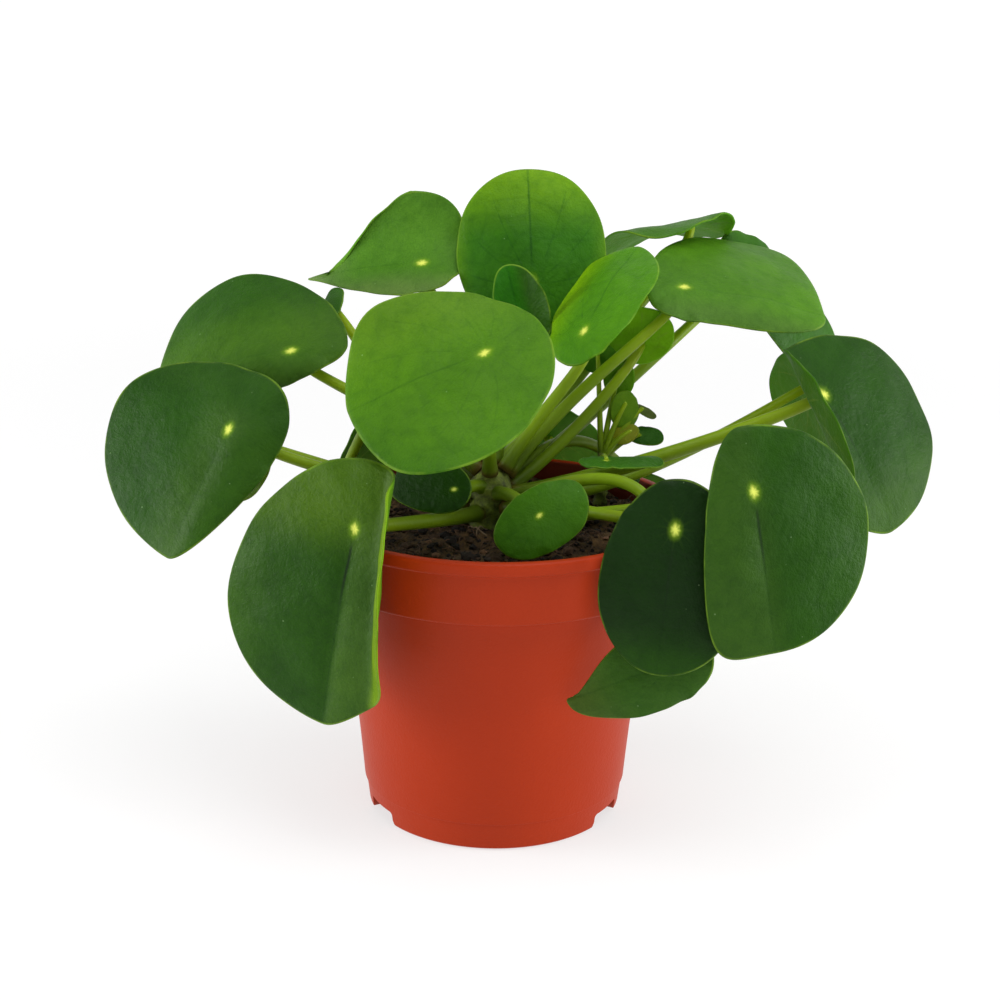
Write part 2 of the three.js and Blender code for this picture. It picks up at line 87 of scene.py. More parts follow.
# Driving dimensions of what grows in it, repeated from the part
SEAT_GAP = 0.3
STALK_SEAT = 0.4
SOIL_TOP = 93
SOIL_BUMP = 1.6
TRUNK = SimpleNamespace(x=-2, y=0, radius=7, top=112, depth=24)
OFFSET_STEM = SimpleNamespace(x=34, y=20, radius=2.6, top=112, depth=14)
LEAF_THICKNESS = 1
STALK_ROOT_RADIUS = 2.2
STALK_TIP_RADIUS = 1.5
FOLD_WIDTH = 7
FOLD_FADE = 0.8
LEAST_WIDTH = 0.06
WAVES_ROUND_MARGIN = 3

# How fine the pieces are, and the angle in degrees from which an edge of the pot stays sharp
LEAF_COLUMNS = 64
LEAF_ROWS = 40
OFFSET_COLUMNS = 32
OFFSET_ROWS = 20
STALK_STEPS = 40
STALK_SIDES = 16
SOIL_SIDES = 180
SOIL_RINGS = 60
TRUNK_SIDES = 48
TRUNK_RINGS = 56
DRAIN_SIDES = 32
SCALE_STEPS = 5
SHARP_EDGE = 35

# How many crumbs and fibres lie on the soil, and the largest crumb
CRUMBS = 1500
FIBRES = 260
LARGEST_CRUMB = 2.6

# The photograph's camera, in millimetres round the pot's axis, degrees and pixels
CAMERA_PLACE = (1.0, -520, 256)
CAMERA_PITCH = 16.56
CAMERA_ROLL = 0.62
FOCAL_PIXELS = 1705
IMAGE_PIXELS = 1000
SENSOR = 36

# How bright the air is on the camera's side, behind the plant and low round the horizon
FRONT_AIR = 0.13
BACK_AIR = 0.72
HORIZON_AIR = 1.0

# How brightly the floor shines under the pot and far from it, and in metres its half width and how far
# it lies below the foot
NEAR_GLOW = 0.66
FAR_GLOW = 0.90
FLOOR_HALF = 300.0
FLOOR_DROP = 0.0005

# The point that the lamps are turned to, in metres
LIT_POINT = (0.0, 0.0, 0.11)

# How much longer than wide the yellow spot is
SPOT_LENGTH = 1.45


@dataclass
class Leaf:
    """One leaf in the terms of the part, in millimetres and degrees, and then its looks.

    Its tone is in thousandths of linear red, green and blue, matched leaf by leaf to how bright the leaf
    looks where it hangs, so that it partly holds painted light and shade. Each entry of painted light and
    shade is another tone that paints a sheen band, a shaded side or light through the blade: the way to it
    in degrees from the tip towards the right side, and the shares of the blade between which it fades in.
    Then come the strength of its veins and of a painted shade line in a crease below the spot, and the
    midrib's depth."""

    spot: tuple
    face: tuple
    size: tuple
    turn: float = 0
    share: float = 0.32
    egg: tuple = (0.08, 0.08)
    bend: tuple = (20, 12, 18, 18)
    pinch: tuple = (0, 0)
    wave: tuple = (0.012, 0)
    fold: tuple = (0, 0)
    fold_start: float = 0
    fold_slant: float = 0
    rise: float = 102
    arch: float = 8
    reach: float = 12
    hang: float = 0
    girth: float = 1
    # The tone partly holds painted light and shade, and the entries after it paint sheen bands, shaded sides
    # and light through the blade.
    tone: tuple = (34, 120, 8)
    painted_light_and_shade: tuple = ()
    veins: float = 0.22
    # crease: the strength of a painted shade line in the crease below the spot.
    crease: float = 0
    groove: float = 0.4


LEAVES = {
    "far_left": Leaf((-83, -10, 126), (-22, 34), (64, 43, 17), 16, egg=(-0.12, -0.33),
        bend=(15, 10, 5, 45), pinch=(0, 0.2), rise=103, arch=-8, reach=20, tone=(32, 88, 8),
        painted_light_and_shade=[((15, 64, 2), -90, 0.0, 0.4), ((28, 90, 4), 90, 0.15, 0.5),
                ((19, 70, 3), 180, 0.05, 0.25)], groove=1.0),
    "far_left_under": Leaf((-80.5, 12, 117), (-40, 25), (30, 12, 12), 10, rise=98, arch=-2,
        tone=(90, 170, 6)),
    "upper_left": Leaf((-67, 20, 145), (-15, 50), (68, 37.5, 14.5), 76, share=0.27, egg=(0.2, 0.3),
        bend=(25, 10, 5, 75), pinch=(-0.1, 0), rise=108, arch=6, tone=(42, 118, 4),
        painted_light_and_shade=[((20, 80, 2), -90, 0.15, 0.8), ((50, 120, 12), 90, 0.1, 0.9)]),
    # low_left: its dark tone and shades paint shade on the left half, and painted light above the spot,
    # right of the midrib and on the lit fold strip.
    "low_left": Leaf((-41, -50, 107), (-15, 12), (83, 37.5, 30), 10, share=0.245, egg=(0.16, 0.04),
        pinch=(0.15, 0.5), fold=(0, -84), fold_start=5.5, fold_slant=0.1, rise=98, arch=-2, girth=1.15,
        tone=(15, 62, 1), painted_light_and_shade=[((26, 84, 2), -90, 0.45, 1.0), ((40, 102, 8), 90, -0.02, 0.08),
                ((50, 115, 3), 180, -0.22, 0.08), ((152, 264, 3), 90, 0.42, 0.6)], crease=1.0, groove=1.5),
    "centre": Leaf((-4, -30, 155), (-8, 50), (63, 29.5, 35.5), 63.5, share=0.31, egg=(0.29, 0.1),
        bend=(17, 0, -9, -5), pinch=(0.57, -0.23), tone=(62, 178, 2),
        painted_light_and_shade=[((40, 130, 2), 35, 0.55, 1.15), ((85, 200, 6), -90, 0.1, 0.9)], veins=0.4),
    "back_left": Leaf((-26, 50, 169), (-15, 50), (56.5, 25, 13.5), 86, share=0.24, egg=(-0.4, -0.28),
        bend=(23, 10, -55, -4), pinch=(1.55, 0.7), tone=(64, 185, 10),
        painted_light_and_shade=[((100, 185, 32), 90, 0.1, 0.9), ((115, 210, 45), 0, 0.5, 1.0)], groove=0.7),
    # crest: its pale yellow-green towards the tip and the sides is painted light shining through the blade.
    "crest": Leaf((11, 40, 164.7), (0, 15), (60, 25, 25), 177, share=0.35, arch=-25, reach=25,
        tone=(26, 128, 1), painted_light_and_shade=[((120, 270, 1), 0, 0.35, 1.0), ((75, 200, 1), 90, 0.75, 1.1),
                ((75, 200, 1), -90, 0.75, 1.1)], veins=0.75, groove=0.6),
    "crest_young": Leaf((7, 20.9, 155), (0, 10), (27, 11, 7.5), 165, egg=(-0.22, 0),
        bend=(0, 0, -45, -45), tone=(22, 155, 1), painted_light_and_shade=[((22, 85, 2), -90, 0.0, 0.5)], veins=0.5),
    "bright": Leaf((26.5, 0, 156), (-54, 46), (54, 17, 21.5), 160, share=0.23, egg=(0.15, 0.45),
        pinch=(0.5, -0.55), tone=(60, 206, 1), painted_light_and_shade=[((162, 332, 1), 90, 0.2, 1.0),
                ((30, 196, 8), 180, 0.1, 0.9)], veins=0.5, groove=0.5),
    "upper_right": Leaf((60, 30, 165), (10, 66), (61.5, 14.5, 46), -83, share=0.2, egg=(-0.3, 0.4),
        bend=(20, 10, 40, 15), pinch=(-0.35, 0), arch=12, tone=(66, 189, 7),
        painted_light_and_shade=[((60, 150, 14), -90, 0.1, 0.8)], groove=0.7),
    "back_right_thin": Leaf((66, 75, 180), (200, 73), (48, 20, 20), -80, wave=(0.052, 20),
        tone=(50, 165, 5)),
    "back_right": Leaf((90, 77, 165.8), (32, 35), (60, 16.5, 13.5), -34, share=0.25,
        egg=(-0.08, -0.03), pinch=(-0.5, 0), arch=-4),
    "far_right": Leaf((102, 0, 137), (27, 36), (66.5, 23, 40), -18, share=0.28, egg=(0.19, -0.11),
        bend=(20, 12, 0, 18), pinch=(0.53, 0), fold=(-72, 0), fold_start=3.2, fold_slant=0.2, arch=-6,
        girth=1.2, tone=(14, 62, 1), painted_light_and_shade=[((13, 56, 1), 90, 0.35, 0.9),
                ((28, 85, 4), 0, 0.45, 0.9)], crease=0.4, groove=0.8),
    "far_right_under": Leaf((104, 38, 131), (110, 20), (38, 22, 20), -16, arch=-20),
    "front_right": Leaf((72, -62, 123), (12, 15), (66, 18.5, 34), -8.5, share=0.28, egg=(0.58, 0),
        bend=(15, 12, 35, 12), rise=98, arch=-8, tone=(27, 80, 5), painted_light_and_shade=[((16, 68, 1), 90, -0.08, 0.22),
                ((22, 80, 2), 90, 0.6, 1.0)], crease=0.8, groove=1.5),
    # inner_right: its near-black tone is painted shade, as the leaf hangs in shade.
    "inner_right": Leaf((51, -57, 110), (-8, 15), (58, 20, 22), 5, share=0.25, rise=98, arch=6,
        tone=(5, 25, 1), painted_light_and_shade=[((13, 55, 1), 0, 0.6, 1.0)], crease=0.4, groove=0.8),
    "low_right": Leaf((52, -55, 69), (-10, 15), (46, 10.6, 13), 64.5, share=0.26, egg=(-0.08, -0.15),
        bend=(12, 0, 1, 28), pinch=(1.2, 0.08), arch=16, hang=80, reach=18, tone=(34, 102, 6),
        painted_light_and_shade=[((56, 98, 12), 0, 0.4, 1.0)]),
    "front_small": Leaf((12.7, -38, 108), (0, 25), (31, 8.5, 11), 55, share=0.5, egg=(0.07, -0.16),
        pinch=(0.18, -0.29), tone=(41, 137, 2)),
    "left_small": Leaf((-13, -21, 110.8), (-10, 28), (25.5, 11.5, 7), 86, share=0.2,
        egg=(0.25, -0.25), pinch=(-0.15, 0.2), tone=(11, 48, 1)),
    "back_left_young": Leaf((-56, 45.5, 154.4), (-40, 40), (14, 4, 4), 150, rise=104, arch=-14),
    "behind_bright": Leaf((47, 37.3, 144.8), (175, 12), (21, 12, 11), 179, arch=-10,
        tone=(140, 330, 2), veins=0.6),
    "centre_young": Leaf((11, 24, 120), (170, 20), (15, 5, 4), 180, rise=106, tone=(14, 50, 2)),
    "rear_left": Leaf((-36, 52, 110), (205, 25), (42, 20, 20), tone=(14, 50, 2)),
    "rear_mid": Leaf((18, 66, 105), (188, 25), (46, 20, 20), 6),
    "rear_low_left": Leaf((-62, 41, 79), (232, 18), (50, 23, 23), bend=(20, 0, 18, 18), rise=98,
        arch=80, hang=54, reach=8),
    "rear_low_right": Leaf((59, 63, 77), (140, 18), (54, 25, 25), bend=(20, 0, 18, 18), rise=98,
        arch=38, hang=46, reach=18),
}

OFFSET_LEAVES = [
    Leaf((32.3, 28, 144.5), (165, 20), (12, 7, 6), tone=(18, 80, 5)),
    Leaf((40, 33, 137), (180, 10), (14, 5, 5), tone=(80, 200, 5)),
    Leaf((41.8, 25, 127.5), (20, 12), (12.5, 5, 5), tone=(110, 230, 5)),
    Leaf((43.5, 23, 118.5), (0, 40), (9, 4, 3), 60, tone=(220, 240, 10)),
    Leaf((47.5, 28, 125), (10, 30), (8, 1.6, 1.2), -60, tone=(100, 130, 30)),
    Leaf((47, 28, 116), (0, 40), (12, 3.2, 3.6), -88, tone=(30, 120, 6)),
    Leaf((34, -8, 117), (15, 86), (27, 6, 6), -85, bend=(6, 6, 18, 18), tone=(35, 130, 6)),
    Leaf((43, 26, 103.5), (20, 15), (8, 5, 5), tone=(22, 70, 6)),
]


def unit(vector):
    """The vector with a length of 1."""
    return vector / np.linalg.norm(vector)


def at_frame(points):
    """Points in millimetres round the pot's axis, as metres in the shared frame."""
    return np.asarray(points, float) * MM + AXIS


def add_object(name, data):
    """A new object in the scene that shows this mesh, lamp or camera."""
    thing = bpy.data.objects.new(name, data)
    bpy.context.scene.collection.objects.link(thing)
    return thing


def mesh_object(name, points, faces, smooth=True):
    """A mesh object from points in millimetres and faces."""
    mesh = bpy.data.meshes.new(name)
    mesh.from_pydata([tuple(p) for p in at_frame(points)], [], [tuple(int(i) for i in f) for f in faces])
    mesh.validate()
    if smooth:
        mesh.shade_smooth()
    return add_object(name, mesh)


def store(piece, name, values):
    """Keeps one number or colour for each point of a mesh under a name that materials read."""
    values = np.asarray(values, np.float32)
    kind, field = ("FLOAT", "value") if values.ndim == 1 else ("FLOAT_VECTOR", "vector")
    piece.data.attributes.new(name, kind, "POINT").data.foreach_set(field, values.ravel())


def settle(piece, slot, *nodes):
    """Puts a finished piece on the one body, in the place of its CAD nodes."""
    if nodes:
        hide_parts(*nodes)
    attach(piece, "root")


def build_piece(name, points, faces, material, slot, *nodes, smooth=True, **values):
    """One visible piece: its mesh, the values that its material reads at each point, and its place."""
    piece = mesh_object(name, points, faces, smooth)
    for key, numbers in values.items():
        store(piece, key, numbers)
    piece.data.materials.append(MATERIALS[material])
    settle(piece, slot, *nodes)


def join(parts, points, values, faces):
    """Adds one mesh, with a value for each of its points, to the lists of points, values and faces."""
    base = len(parts[0])
    parts[0].extend(points)
    parts[1].extend(values)
    parts[2].extend(tuple(i + base for i in face) for face in faces)


def level_ring(radius, height, sides, x=0.0, y=0.0):
    """A level ring of points; its radius and height are one number or one for each point."""
    angles = 2 * np.pi * np.arange(sides) / sides
    heights = np.broadcast_to(height, sides)
    return list(zip(x + radius * np.cos(angles), y + radius * np.sin(angles), heights))


def ring_faces(rings, sides, downwards=False):
    """The faces of a closed skin: one end point, rings of points that go up or downwards, the other end."""
    faces = []
    for k in range(sides):
        n = (k + 1) % sides
        faces.append((0, 1 + n, 1 + k))
        for ring in range(rings - 1):
            a = 1 + ring * sides
            faces.append((a + k, a + n, a + sides + n, a + sides + k))
        top = 1 + (rings - 1) * sides
        faces.append((top + k, top + n, top + sides))
    return [(first, *reversed(rest)) for first, *rest in faces] if downwards else faces


# Leaf blades

def walk(distance, half_width, bend, fold=0.0, fold_start=0.0):
    """How far out and down a point at this distance from the midrib lies, and the blade's slope there."""
    steps = 20
    stride = distance / steps
    out, drop = 0, 0
    for i in range(steps):
        s = (i + 0.5) * stride
        crease = np.clip((s - fold_start) / FOLD_WIDTH, 0, 1)
        turn = (bend * s / half_width + fold * crease * crease * (3 - 2 * crease)) * DEGREE
        out = out + np.cos(turn) * stride
        drop = drop + np.sin(turn) * stride
    return out, drop, turn


def leaf_axes(leaf):
    """The blade's own axes: towards the tip, to the right of it, out of the upper side, and up the slope."""
    azimuth, height = (a * DEGREE for a in leaf.face)
    turn = leaf.turn * DEGREE
    level = np.array([math.sin(azimuth), -math.cos(azimuth), 0.0])
    upright = np.array([0.0, 0.0, 1.0])
    normal = level * math.cos(height) + upright * math.sin(height)
    down = level * math.sin(height) - upright * math.cos(height)
    left = np.cross(down, normal)
    tip = down * math.cos(turn) + left * math.sin(turn)
    return tip, np.cross(normal, tip), normal, -down


def leaf_surface(leaf, across, along):
    """Points of the blade's middle surface, and each point's flat place round the spot in millimetres."""
    length = leaf.size[0]
    share = leaf.share
    bend = leaf.bend
    right = across > 0

    def of_side(pair):
        return np.where(right, pair[1], pair[0])

    chord = np.sqrt(np.maximum(0, 1 - across * across)) * along
    forward = length * (0.5 - share + (chord + of_side(leaf.egg) * across * across) / 2)
    half = of_side(leaf.size[1:])
    towards_tip = np.maximum(0, chord) ** 2
    half = half * np.maximum(LEAST_WIDTH, 1 - of_side(leaf.pinch) * towards_tip)
    crease = of_side(leaf.fold) * (1 - FOLD_FADE * towards_tip)
    tipward = forward > 0
    reach = np.where(tipward, length * (1 - share), length * share)
    end_out, end_drop, end_turn = walk(np.abs(forward), reach, np.where(tipward, bend[0], bend[1]))
    side_out, side_drop, _ = walk(np.abs(across) * half, half, of_side(bend[2:]), crease,
                                  leaf.fold_start + leaf.fold_slant * forward)
    wave_height, wave_phase = leaf.wave
    round_spot = np.arctan2(across, chord)
    rho2 = across * across + chord * chord
    ripple = wave_height * length * rho2 * np.sin(WAVES_ROUND_MARGIN * round_spot + wave_phase * DEGREE)
    tip_shift = np.sign(forward) * (end_out - side_drop * np.sin(end_turn))
    rise = ripple - side_drop * np.cos(end_turn) - end_drop
    tip, side, normal, _ = leaf_axes(leaf)
    points = (np.array(leaf.spot, float) + tip_shift[..., None] * tip
              + (np.sign(across) * side_out)[..., None] * side + rise[..., None] * normal)
    flat = np.stack([forward, across * half, np.sqrt(np.clip(rho2, 0, 1))], -1)
    return points, flat


def leaf_grid(leaf, columns, rows):
    """The middle surface, closed on one point at each side: points, flat places, faces and margin."""
    spot = 2 * leaf.share - 1
    base_rows = max(2, round(rows * (spot + 1) / 2))
    places = np.concatenate([np.linspace(-1, spot, base_rows, endpoint=False),
                             np.linspace(spot, 1, rows - base_rows + 1)])
    across = -np.cos(np.pi * np.arange(1, columns) / columns)
    grid_across, grid_along = np.meshgrid(across, places, indexing="ij")
    all_across = np.concatenate([[-1.0], grid_across.ravel(), [1.0]])
    all_along = np.concatenate([[0.0], grid_along.ravel(), [0.0]])
    points, flat = leaf_surface(leaf, all_across, all_along)
    last = len(points) - 1
    grid = np.arange(1, last).reshape(columns - 1, len(places)).tolist()
    faces = []
    for row in range(len(places) - 1):
        faces.append((0, grid[0][row + 1], grid[0][row]))
        faces.append((last, grid[-1][row], grid[-1][row + 1]))
        for here, after in zip(grid, grid[1:]):
            faces.append((here[row], here[row + 1], after[row + 1], after[row]))
    margin = [0] + [column[-1] for column in grid] + [last] + [column[0] for column in reversed(grid)]
    return points, flat, faces, margin


def grid_normals(points, faces):
    """The normal at each point of a sheet, from the faces round it."""
    normals = np.zeros_like(points)
    for size, (a, b, c, d) in ((3, (0, 1, 0, 2)), (4, (0, 2, 1, 3))):
        some = np.array([f for f in faces if len(f) == size])
        corners = points[some]
        face = np.cross(corners[:, b] - corners[:, a], corners[:, d] - corners[:, c])
        for corner in range(size):
            np.add.at(normals, some[:, corner], face)
    return normals / np.maximum(np.linalg.norm(normals, axis=1), 1e-9)[:, None]


# The relief of a blade, in millimetres
GROOVE_WIDTH = 5
VEIN_SPOKES = 11
VEIN_CURL = 0.45 / 30
VEIN_DEPTH = 0.06
VEIN_WIDTH = 1.1
DIMPLE_DEPTH = 0.5
DIMPLE_WIDTH = 2.6
QUILT_HEIGHT = 0.07
QUILT_SIZE = 7.0
MARGIN_RIPPLE = 0.35
SWELL_HEIGHT = 0.35
SWELL_SIZE = 4.5
FULL_RELIEF = 45
EDGE_ROUND = 0.3


def relief(flat, size, seed, groove):
    """How far a blade's surface stands above its smooth form, less on blades shorter than FULL_RELIEF."""
    p, q, rho = flat[:, 0], flat[:, 1], flat[:, 2]
    r = np.hypot(p, q)
    theta = np.arctan2(q, p)
    curled = theta + VEIN_CURL * r * np.sin(theta)
    spoke = np.abs((curled * VEIN_SPOKES / (2 * np.pi)) % 1 - 0.5)
    away = (0.5 - spoke) * 2 * np.pi * r / VEIN_SPOKES
    fade = np.clip(r / 6, 0, 1) * np.clip((1 - rho) * 8, 0, 1)
    veins = -VEIN_DEPTH * np.exp(-(away / VEIN_WIDTH) ** 2) * fade
    quilt = QUILT_HEIGHT * fade * (
        np.sin(p / QUILT_SIZE * 2.3 + seed) * np.sin(q / QUILT_SIZE * 2.1 + 2 * seed)
        + 0.6 * np.sin((p + q) / QUILT_SIZE * 3.7 + 3 * seed) * np.sin((p - q) / QUILT_SIZE * 3.1 + seed))
    dimple = -DIMPLE_DEPTH * np.exp(-(r / DIMPLE_WIDTH) ** 2)
    ripple = MARGIN_RIPPLE * rho ** 6 * (np.sin(7 * theta + seed) + 0.6 * np.sin(12 * theta + 2.3 * seed))
    inner = np.clip((1 - rho) * 4, 0, 1)
    swell = SWELL_HEIGHT * inner * np.sin(p / SWELL_SIZE + 1.3 * seed) * np.sin(q / SWELL_SIZE + 2.1 * seed)
    midrib = -groove * np.exp(-np.abs(q) / GROOVE_WIDTH) * np.clip(p / 10, 0, 1) * inner
    return (veins + quilt + ripple + dimple + swell + midrib) * min(1, size / FULL_RELIEF)


def blade_mesh(leaf, columns, rows, seed, thickness, groove=0.0):
    """A blade with an upper and lower face and a rounded edge: points, flat places, under mark and faces."""
    points, flat, faces, margin = leaf_grid(leaf, columns, rows)
    normals = grid_normals(points, faces)
    points = points + relief(flat, leaf.size[0], seed, groove)[:, None] * normals
    count = len(points)
    margin = np.array(margin)
    edge = points[margin]
    along = np.roll(edge, -1, axis=0) - np.roll(edge, 1, axis=0)
    outward = np.cross(along, normals[margin])
    outward /= np.maximum(np.linalg.norm(outward, axis=1), 1e-9)[:, None]
    thin = thickness / 2 * (1 - 0.35 * flat[:, 2] ** 8)
    upper = points + normals * thin[:, None]
    lower = points - normals * thin[:, None]
    rim = edge + outward * EDGE_ROUND
    all_points = np.concatenate([upper, lower, rim])
    under = np.concatenate([np.zeros(count), np.ones(count), np.full(len(margin), 0.5)])
    places = np.concatenate([flat, flat, flat[margin]])
    all_faces = list(faces) + [tuple(count + i for i in reversed(f)) for f in faces]
    steps = len(margin)
    for i in range(steps):
        j = (i + 1) % steps
        a, b = int(margin[i]), int(margin[j])
        ra, rb = 2 * count + i, 2 * count + j
        all_faces.append((b, a, ra, rb))
        all_faces.append((rb, ra, count + a, count + b))
    return all_points, places, under, all_faces


def spot_distance(leaf, places):
    """How far each point lies from the spot, which is longer along the midrib and small on small leaves."""
    scale = min(1.0, max(0.3, leaf.size[0] / 55))
    return np.hypot(places[:, 0] / SPOT_LENGTH, places[:, 1]) / scale


def tone_with_painted_light(leaf, places):
    """The green of each point of a blade: its tone, with the painted light and shade that fade in
    towards the sides which the leaf names.
    """
    length, left, right = leaf.size
    along = places[:, 0] / (length * (1 - leaf.share))
    across = places[:, 1] / np.where(places[:, 1] > 0, right, left)
    colours = np.tile(np.array(leaf.tone) / 1000, (len(places), 1))
    # Each entry paints light and shade into the green: a sheen band, a shaded side or light through the
    # blade.
    for colour, way, low, high in leaf.painted_light_and_shade:
        far = along * math.cos(way * DEGREE) + across * math.sin(way * DEGREE)
        share = np.clip((far - low) / (high - low), 0, 1)
        share = (share * share * (3 - 2 * share))[:, None]
        colours = colours * (1 - share) + np.array(colour) / 1000 * share
    return colours


def blade_piece(name, node, leaf, mesh):
    """The finished blade of one leaf, with what the leaf material reads at each point."""
    points, places, under, faces = mesh
    count = len(points)
    # The tone that the material reads holds the leaf's painted light and shade, and the crease value is the
    # strength of a painted shade line.
    build_piece(name, points, faces, "leaf", "leaf_blade", node, leaf_place=places, leaf_under=under,
                leaf_spot=spot_distance(leaf, places), leaf_tone=tone_with_painted_light(leaf, places),
                leaf_crease=np.full(count, leaf.crease), leaf_veins=np.full(count, leaf.veins))


def build_leaf(name, leaf, seed):
    """The blade and the stalk of one large leaf."""
    mesh = blade_mesh(leaf, LEAF_COLUMNS, LEAF_ROWS, seed, LEAF_THICKNESS, leaf.groove)
    blade_piece(f"leaf_{name}", f"blade_{name}", leaf, mesh)
    stalk_piece(name, leaf)


# Stalks and stems

def stalk_points(leaf, steps):
    """The middle line of a leaf's stalk, from the trunk to just under the spot."""
    _, _, normal, up = leaf_axes(leaf)
    top = np.array(leaf.spot, float) - normal * (LEAF_THICKNESS / 2 + STALK_SEAT)
    reach = top - normal * leaf.reach + up * leaf.hang
    way = unit(top - reach)
    top = top - normal * np.linalg.norm(np.cross(way, normal)) * STALK_TIP_RADIUS
    root = np.array([TRUNK.x, TRUNK.y, leaf.rise], float)
    rising = root + (top - root) * 0.35
    rising[2] += leaf.arch
    t = np.linspace(0, 1, steps + 1)[:, None]
    return (1 - t) ** 3 * root + 3 * (1 - t) ** 2 * t * rising + 3 * (1 - t) * t * t * reach + t ** 3 * top


def tube(line, radii, sides):
    """A round tube along a line of points, closed at both ends: points, share along it, faces."""
    line = np.asarray(line, float)
    ways = np.gradient(line, axis=0)
    ways /= np.linalg.norm(ways, axis=1)[:, None]
    side = np.cross(ways[0], [0.0, 0.0, 1.0])
    if np.linalg.norm(side) < 0.1:
        side = np.cross(ways[0], [1.0, 0.0, 0.0])
    points, shares = [], []
    angles = 2 * np.pi * np.arange(sides) / sides
    length = np.concatenate([[0], np.cumsum(np.linalg.norm(np.diff(line, axis=0), axis=1))])
    for place, way, radius, far in zip(line, ways, radii, length / length[-1]):
        side = unit(side - way * side.dot(way))
        other = np.cross(way, side)
        ring = place + radius * (np.cos(angles)[:, None] * side + np.sin(angles)[:, None] * other)
        points.extend(ring)
        shares.extend([far] * sides)
    faces = []
    for step in range(len(line) - 1):
        for k in range(sides):
            a, b = step * sides + k, step * sides + (k + 1) % sides
            faces.append((a, b, b + sides, a + sides))
    faces.append(tuple(range(sides - 1, -1, -1)))
    faces.append(tuple(range((len(line) - 1) * sides, len(line) * sides)))
    return np.array(points), np.array(shares), faces


def stalk_piece(name, leaf):
    """The stalk of one large leaf, a little thicker where it leaves the trunk and meets the blade."""
    line = stalk_points(leaf, STALK_STEPS)
    from_trunk = np.hypot(line[:, 0] - TRUNK.x, line[:, 1] - TRUNK.y)
    inside = (from_trunk < TRUNK.radius - 2) & (line[:, 2] < TRUNK.top - 2)
    line = line[np.argmin(inside) if not inside.all() else 0:]
    share = np.linspace(0, 1, len(line))
    radii = leaf.girth * (STALK_ROOT_RADIUS + (STALK_TIP_RADIUS - STALK_ROOT_RADIUS) * share)
    radii = radii * (1 + 0.22 * np.exp(-(share / 0.05) ** 2) + 0.12 * np.exp(-((1 - share) / 0.03) ** 2))
    points, shares, faces = tube(line, radii, STALK_SIDES)
    build_piece(f"petiole_{name}", points, faces, "stalk", "leaf_stalk", f"stalk_{name}", stalk_share=shares)


# The pot

def body_radius(z):
    """The outer radius of the pot's wall between the foot and the collar."""
    share = (z - FOOT_HEIGHT) / (COLLAR_BOTTOM - FOOT_HEIGHT)
    straight = FOOT_RADIUS + FOOT_STEP + (BODY_TOP_RADIUS - FOOT_RADIUS - FOOT_STEP) * share
    return straight + BODY_BULGE * math.sin(math.pi * share)


def rounded(corners, steps=5):
    """A profile from corners that each have a distance from the axis, a height and a rounding."""
    out = []
    for i, (*corner, radius) in enumerate(corners):
        here = np.array(corner, float)
        if radius == 0:
            out.append(tuple(here))
            continue
        sides = [np.array(corners[k][:2], float) - here for k in (i - 1, i + 1)]
        lengths = [np.linalg.norm(side) for side in sides]
        reach = min(radius, 0.45 * min(lengths))
        start, end = (here + side / length * reach for side, length in zip(sides, lengths))
        for k in range(steps + 1):
            t = k / steps
            out.append(tuple((1 - t) ** 2 * start + 2 * t * (1 - t) * here + t * t * end))
    return out


def lathe(profile, sides):
    """A solid of revolution about the pot's axis; the profile starts and ends on the axis."""
    points = [(0, 0, profile[0][1])]
    for radius, z in profile[1:-1]:
        points.extend(level_ring(radius, z, sides))
    points.append((0, 0, profile[-1][1]))
    return points, ring_faces(len(profile) - 2, sides)


def pot_profile():
    """The pot's section: under the floor, round the foot, up the wall, over the lip and down inside."""
    floor_top = FOOT_HEIGHT + POT_WALL
    foot_inside = FOOT_RADIUS - 2 * POT_WALL
    lip_bottom = POT_HEIGHT - LIP_HEIGHT
    corners = [(0, FOOT_HEIGHT, 0), (foot_inside, FOOT_HEIGHT, 0.8), (foot_inside, 0, 0.5),
               (FOOT_RADIUS, 0, 0.7), (FOOT_RADIUS + FOOT_DRAFT, FOOT_HEIGHT, 0.3)]
    for z in np.linspace(FOOT_HEIGHT, COLLAR_BOTTOM, 9):
        corners.append((body_radius(z), z, 0.7 if z == FOOT_HEIGHT else 0))
    corners[-1] = (body_radius(COLLAR_BOTTOM), COLLAR_BOTTOM, 0.8)
    corners += [(COLLAR_RADIUS, COLLAR_BOTTOM + EDGE_EASE, 0.9),
                (COLLAR_RADIUS + COLLAR_DRAFT, lip_bottom - EDGE_EASE, 0.6),
                (RIM_RADIUS, lip_bottom, 0.8), (RIM_RADIUS, POT_HEIGHT, 1.4),
                (RIM_RADIUS - 2 * POT_WALL, POT_HEIGHT, 1.2),
                (COLLAR_RADIUS - POT_WALL, COLLAR_BOTTOM + STEP_RISE, 0.8)]
    for z in np.linspace(COLLAR_BOTTOM, floor_top, 7):
        corners.append((body_radius(z) - POT_WALL, z, 0.8))
    corners.append((0, floor_top, 0))
    return rounded(corners)


